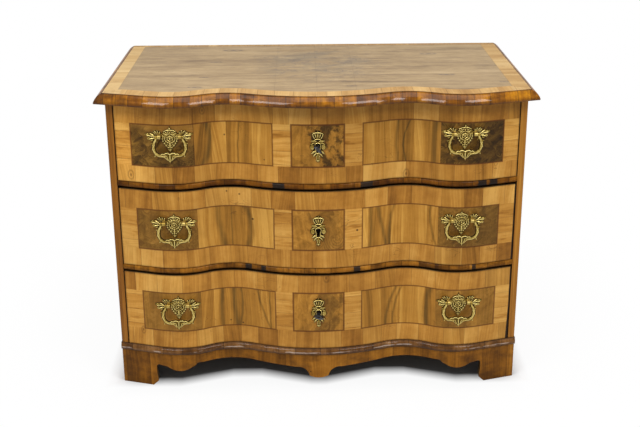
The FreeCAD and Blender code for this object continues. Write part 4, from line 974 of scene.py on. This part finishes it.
def bail_relief(neck):
    """Swan-neck bail with leafy buds outside its pivots and a ruffled leaf at the bottom."""
    r = Relief(63, -71, 16)

    def by_neck(*places):
        return [(neck + across, up) for across, up in places]

    r.blade(by_neck((-1, 0), (1.6, -8), (6.2, -17), (6.8, -27), (4.8, -37), (-1, -45.0))
            + [(22, -48.8), (12, -48.5)], (4.4, 4.3, 4.9, 5.3, 4.9, 5.3, 5.0, 4.4), 3.6)
    # ridges, knobs, spurs and small leaves along it
    r.blade(by_neck((3.8, -15), (5.4, -22), (8.4, -28), (6.4, -35), (3, -41)),
            (1.0, 1.5, 1.3, 1.6, 0.9), 4.3)
    r.blade([(neck - 2, -47.4), (26, -49.6), (18, -48.4)], (1.0, 1.6, 1.2), 4.2)
    for across, up, wide in ((6.4, -20, 5.0), (7.0, -31, 5.2), (0.6, -43.4, 5.4)):
        r.disc((neck + across, up), (wide, 3.6), 4.5, 0.9)
    r.blade(by_neck((4.5, -17.4), (9, -15.2), (13, -15.6)), (3.0, 2.3, 0.9), 3.0)
    r.blade(by_neck((2.4, -43.5), (4.4, -50.4)), (3.0, 1.5), 3.0)
    r.blade(by_neck((0.4, -8), (-3.6, -12.5)), (2.6, 1.1), 2.8)
    # bud
    r.blade(by_neck((0, 0), (5, 2)), (4.0, 5.6), 2.8)
    r.disc((neck + 8.0, 3.4), (6.0, 6.4), 3.2, 0.8)
    for across, up, wide, rise in ((12.6, 9.4, 4.5, 4.1), (10.4, -5.0, 4.6, 3.8),
                                   (17.2, -1.6, 4.9, 4.1), (19.6, 7.6, 4.8, 4.3),
                                   (24.4, 8.6, 3.0, 3.4), (6.4, 9.2, 3.2, 3.6)):
        r.disc((neck + across, up), (wide, wide), rise, 1.5)
    r.blade(by_neck((2, 3.0), (8, 7.6), (12, 10.6)), (1.6, 2.3, 1.8), 4.3)
    r.blade(by_neck((3, -1.0), (9, -1.6), (15, -3.0)), (1.6, 2.3, 1.8), 4.2)
    r.blade(by_neck((6, 3.4), (14, 5.2), (20, 6.0)), (1.5, 2.2, 1.9), 4.4)
    # leaf
    r.leaf([(0, -43), (3, -40.5), (7, -39.4), (11, -39.6), (14, -42), (17, -41.2), (20, -41),
            (23.5, -44), (25, -48), (20, -53), (14, -54), (9.6, -58.5), (5, -63.5), (0, -68.5)],
           2.6)
    r.blade([(0, -44.6), (6, -41.7), (11.4, -42.0), (14.6, -44.6)], (1.8, 2.0, 2.1, 1.6), 4.2, 0.4)
    r.blade([(14.6, -44.2), (19, -43.4), (23.6, -46.6)], (1.6, 2.1, 1.8), 4.0, 0.4)
    r.blade([(0, -47), (0, -56), (0, -67)], (1.7, 1.7, 1.1), 4.0)
    r.blade([(1.2, -63), (5.6, -56.5), (8.6, -48.5)], (0.9, 1.5, 1.5), 3.6)
    r.blade([(5.5, -60.6), (9.6, -55.2), (14.5, -50)], (0.9, 1.5, 1.4), 3.6)
    r.blade([(11.5, -53.6), (16, -51.4), (21, -49.6)], (1.0, 1.5, 1.3), 3.6)
    return r.cells()


def turned(x, z, y, profile, sides=20):
    """Turned piece along X: (points, faces) from a list of (x, radius) in mm."""
    angles = [2 * math.pi * k / sides for k in range(sides)]
    points = [[x + along * MM, y + radius * MM * math.sin(angle),
               z + radius * MM * math.cos(angle)] for along, radius in profile for angle in angles]
    last = sides * (len(profile) - 1)
    faces = [[ring + k, ring + (k + 1) % sides, ring + (k + 1) % sides + sides, ring + k + sides]
             for ring in range(0, last, sides) for k in range(sides)]
    return points, faces + [list(range(sides - 1, -1, -1)), list(range(last, last + sides))]


def brasses():
    """Cast plates, keyhole plates and bails in place of the plain CAD ones."""
    plate_cells = handle_plate()
    key_cells = keyhole_plate(5.6, 3.1, -14.6)
    joints = {joint["name"]: joint for joint in frame["joints"]}
    boss_in, boss_out, pin_in = 30.3, 36.8, 22.6
    boss = [(boss_in, 4.2), (boss_in + 1.6, 5.1), (boss_out - 1.6, 5.1), (boss_out, 4.0)]
    pin = [(pin_in, 1.7), (boss_in + 1, 1.7)]
    bail_cells = bail_relief((boss_in + boss_out) / 2)
    sides = (("left", -1), ("right", 1))
    for level in LEVELS:
        line = face_line(level)
        low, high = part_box(level + "_drawer_front")
        body = level + "_drawer"

        def front(x, rise):
            return line(x) - (SEAT + EDGE) * MM - rise

        def back(x, rise):
            return line(x) - SEAT * MM

        hinge_x, hinge_y, hinge_z = joints[level + "_bail_right_swing"]["pos_m"]
        for side, sign in sides:
            plate = cast(level + "_plate_" + side, plate_cells, sign * hinge_x, hinge_z, front,
                         back)
            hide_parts(level + "_handle_plates")
            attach(plate, body)
        key_plate = cast(level + "_keyhole_plate", key_cells, 0.0, (low.z + high.z) / 2, front,
                         back)
        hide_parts(level + "_escutcheon")
        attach(key_plate, body)
        for side, sign in sides:
            x = sign * hinge_x
            ends = [turned(x, hinge_z, hinge_y, [(way * along, radius)
                                                 for along, radius in profile[::way]])
                    for way in (-1, 1) for profile in (boss, pin)]
            ring = cast(level + "_swan_bail_" + side, bail_cells, x, hinge_z,
                        lambda across, rise: hinge_y - RIM_HALF * MM - rise,
                        lambda across, rise: hinge_y + RIM_HALF * MM + rise * BACK_RISE, ends)
            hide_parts(level + "_bail_" + side)
            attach(ring, level + "_bail_" + side)


brasses()


# ---- floor, light, camera
def floor():
    """White floor with a painted shadow under the chest. The camera and gloss see it plain, but for
    the shadow at the chest.
    """
    reach = 30.0
    mesh = bpy.data.meshes.new("floor")
    mesh.from_pydata([(-reach, -reach, 0), (reach, -reach, 0), (reach, reach, 0),
                      (-reach, reach, 0)], [], [(0, 1, 2, 3)])
    obj = bpy.data.objects.new("floor", mesh)
    bpy.context.scene.collection.objects.link(obj)
    s = Shader("floor")
    half_width, half_depth = cad_box[1][0], cad_box[1][1]
    soft = s.noise(s.x * 2, s.y * 2, 0.0, 2)
    s.colour = s.ramp(soft, ((0.3, (244, 244, 245)), (0.7, (248, 248, 248))))
    # painted shadow: the floor's colour darkens under the chest
    shaded = s.below(s.most(abs(s.x) - half_width, abs(s.y) - half_depth), -0.04, 0.08)
    s.colour = s.shade(s.colour, 1 - shaded * 0.65)
    s.finish(0.9)
    # distance past the shadow's outline, whose front line steps back under the two arches
    under_arch = s.below(abs(abs(s.x) - 0.2), 0.11, 0.14)
    front_line = under_arch * 0.05 + (cad_box[0][1] + 0.11)
    past = s.most(abs(s.x) - half_width + 0.03, s.y - half_depth, front_line - s.y)
    path = s.add("ShaderNodeLightPath")
    seen = s.most(Val(s, path.outputs["Is Camera Ray"]), Val(s, path.outputs["Is Glossy Ray"]))
    seen = seen * (s.clamp(past / 0.055) * 0.92 + s.clamp(past / 0.5) * 0.08)
    white = s.add("ShaderNodeEmission", Strength=1.0)
    either = s.add("ShaderNodeMixShader", Fac=seen)
    output = next(node for node in s.tree.nodes if node.type == "OUTPUT_MATERIAL")
    s.tree.links.new(s.bsdf.outputs[0], either.inputs[1])
    s.tree.links.new(white.outputs[0], either.inputs[2])
    s.tree.links.new(either.outputs[0], output.inputs["Surface"])
    mesh.materials.append(s.mat)


def area(name, place, target, size, power):
    data = bpy.data.lights.new(name, "AREA")
    data.shape = "RECTANGLE"
    data.size, data.size_y = size
    data.energy = power
    obj = bpy.data.objects.new(name, data)
    obj.location = place
    obj.rotation_euler = (Vector(target) - Vector(place)).to_track_quat("-Z", "Y").to_euler()
    bpy.context.scene.collection.objects.link(obj)


def camera():
    """The photo's camera, as fitted to the corners of the case and the top."""
    place = (-0.0386, -3.0061, 1.4941)
    yaw, pitch, roll = 0.016, 0.3497, -0.0053
    data = bpy.data.cameras.new("camera")
    data.sensor_width = 36.0
    data.lens = 62.58
    forward = Vector((math.sin(yaw) * math.cos(pitch), math.cos(yaw) * math.cos(pitch),
                      -math.sin(pitch)))
    right = Vector((math.cos(yaw), -math.sin(yaw), 0))
    up = right.cross(forward)
    turned_right = right * math.cos(roll) + up * math.sin(roll)
    turned_up = up * math.cos(roll) - right * math.sin(roll)
    turn = Matrix((turned_right, turned_up, -forward)).transposed().to_4x4()
    obj = bpy.data.objects.new("camera", data)
    obj.matrix_world = Matrix.Translation(place) @ turn
    bpy.context.scene.collection.objects.link(obj)
    bpy.context.scene.camera = obj


def world():
    """White round the scene for the camera, a plainer level for the lighting."""
    data = bpy.data.worlds.new("studio")
    data.use_nodes = True
    nodes, links = data.node_tree.nodes, data.node_tree.links
    ambient, seen = nodes["Background"], nodes.new("ShaderNodeBackground")
    for background, strength in ((ambient, 0.42), (seen, 1.0)):
        background.inputs[0].default_value = (1, 1, 1, 1)
        background.inputs[1].default_value = strength
    path = nodes.new("ShaderNodeLightPath")
    mix = nodes.new("ShaderNodeMixShader")
    links.new(path.outputs["Is Camera Ray"], mix.inputs[0])
    links.new(ambient.outputs[0], mix.inputs[1])
    links.new(seen.outputs[0], mix.inputs[2])
    links.new(mix.outputs[0], nodes["World Output"].inputs["Surface"])
    bpy.context.scene.world = data


floor()
camera()
area("softbox_left", (-1.6, -2.2, 3.3), (0, -0.2, 0.5), (1.4, 1.0), 50)
area("softbox_right", (1.6, -2.2, 3.3), (0, -0.2, 0.5), (1.4, 1.0), 50)
area("overhead", (0.0, -0.4, 3.2), (0, 0, 0.4), (3.0, 2.0), 40)
world()
bpy.context.scene.view_settings.view_transform = "Standard"
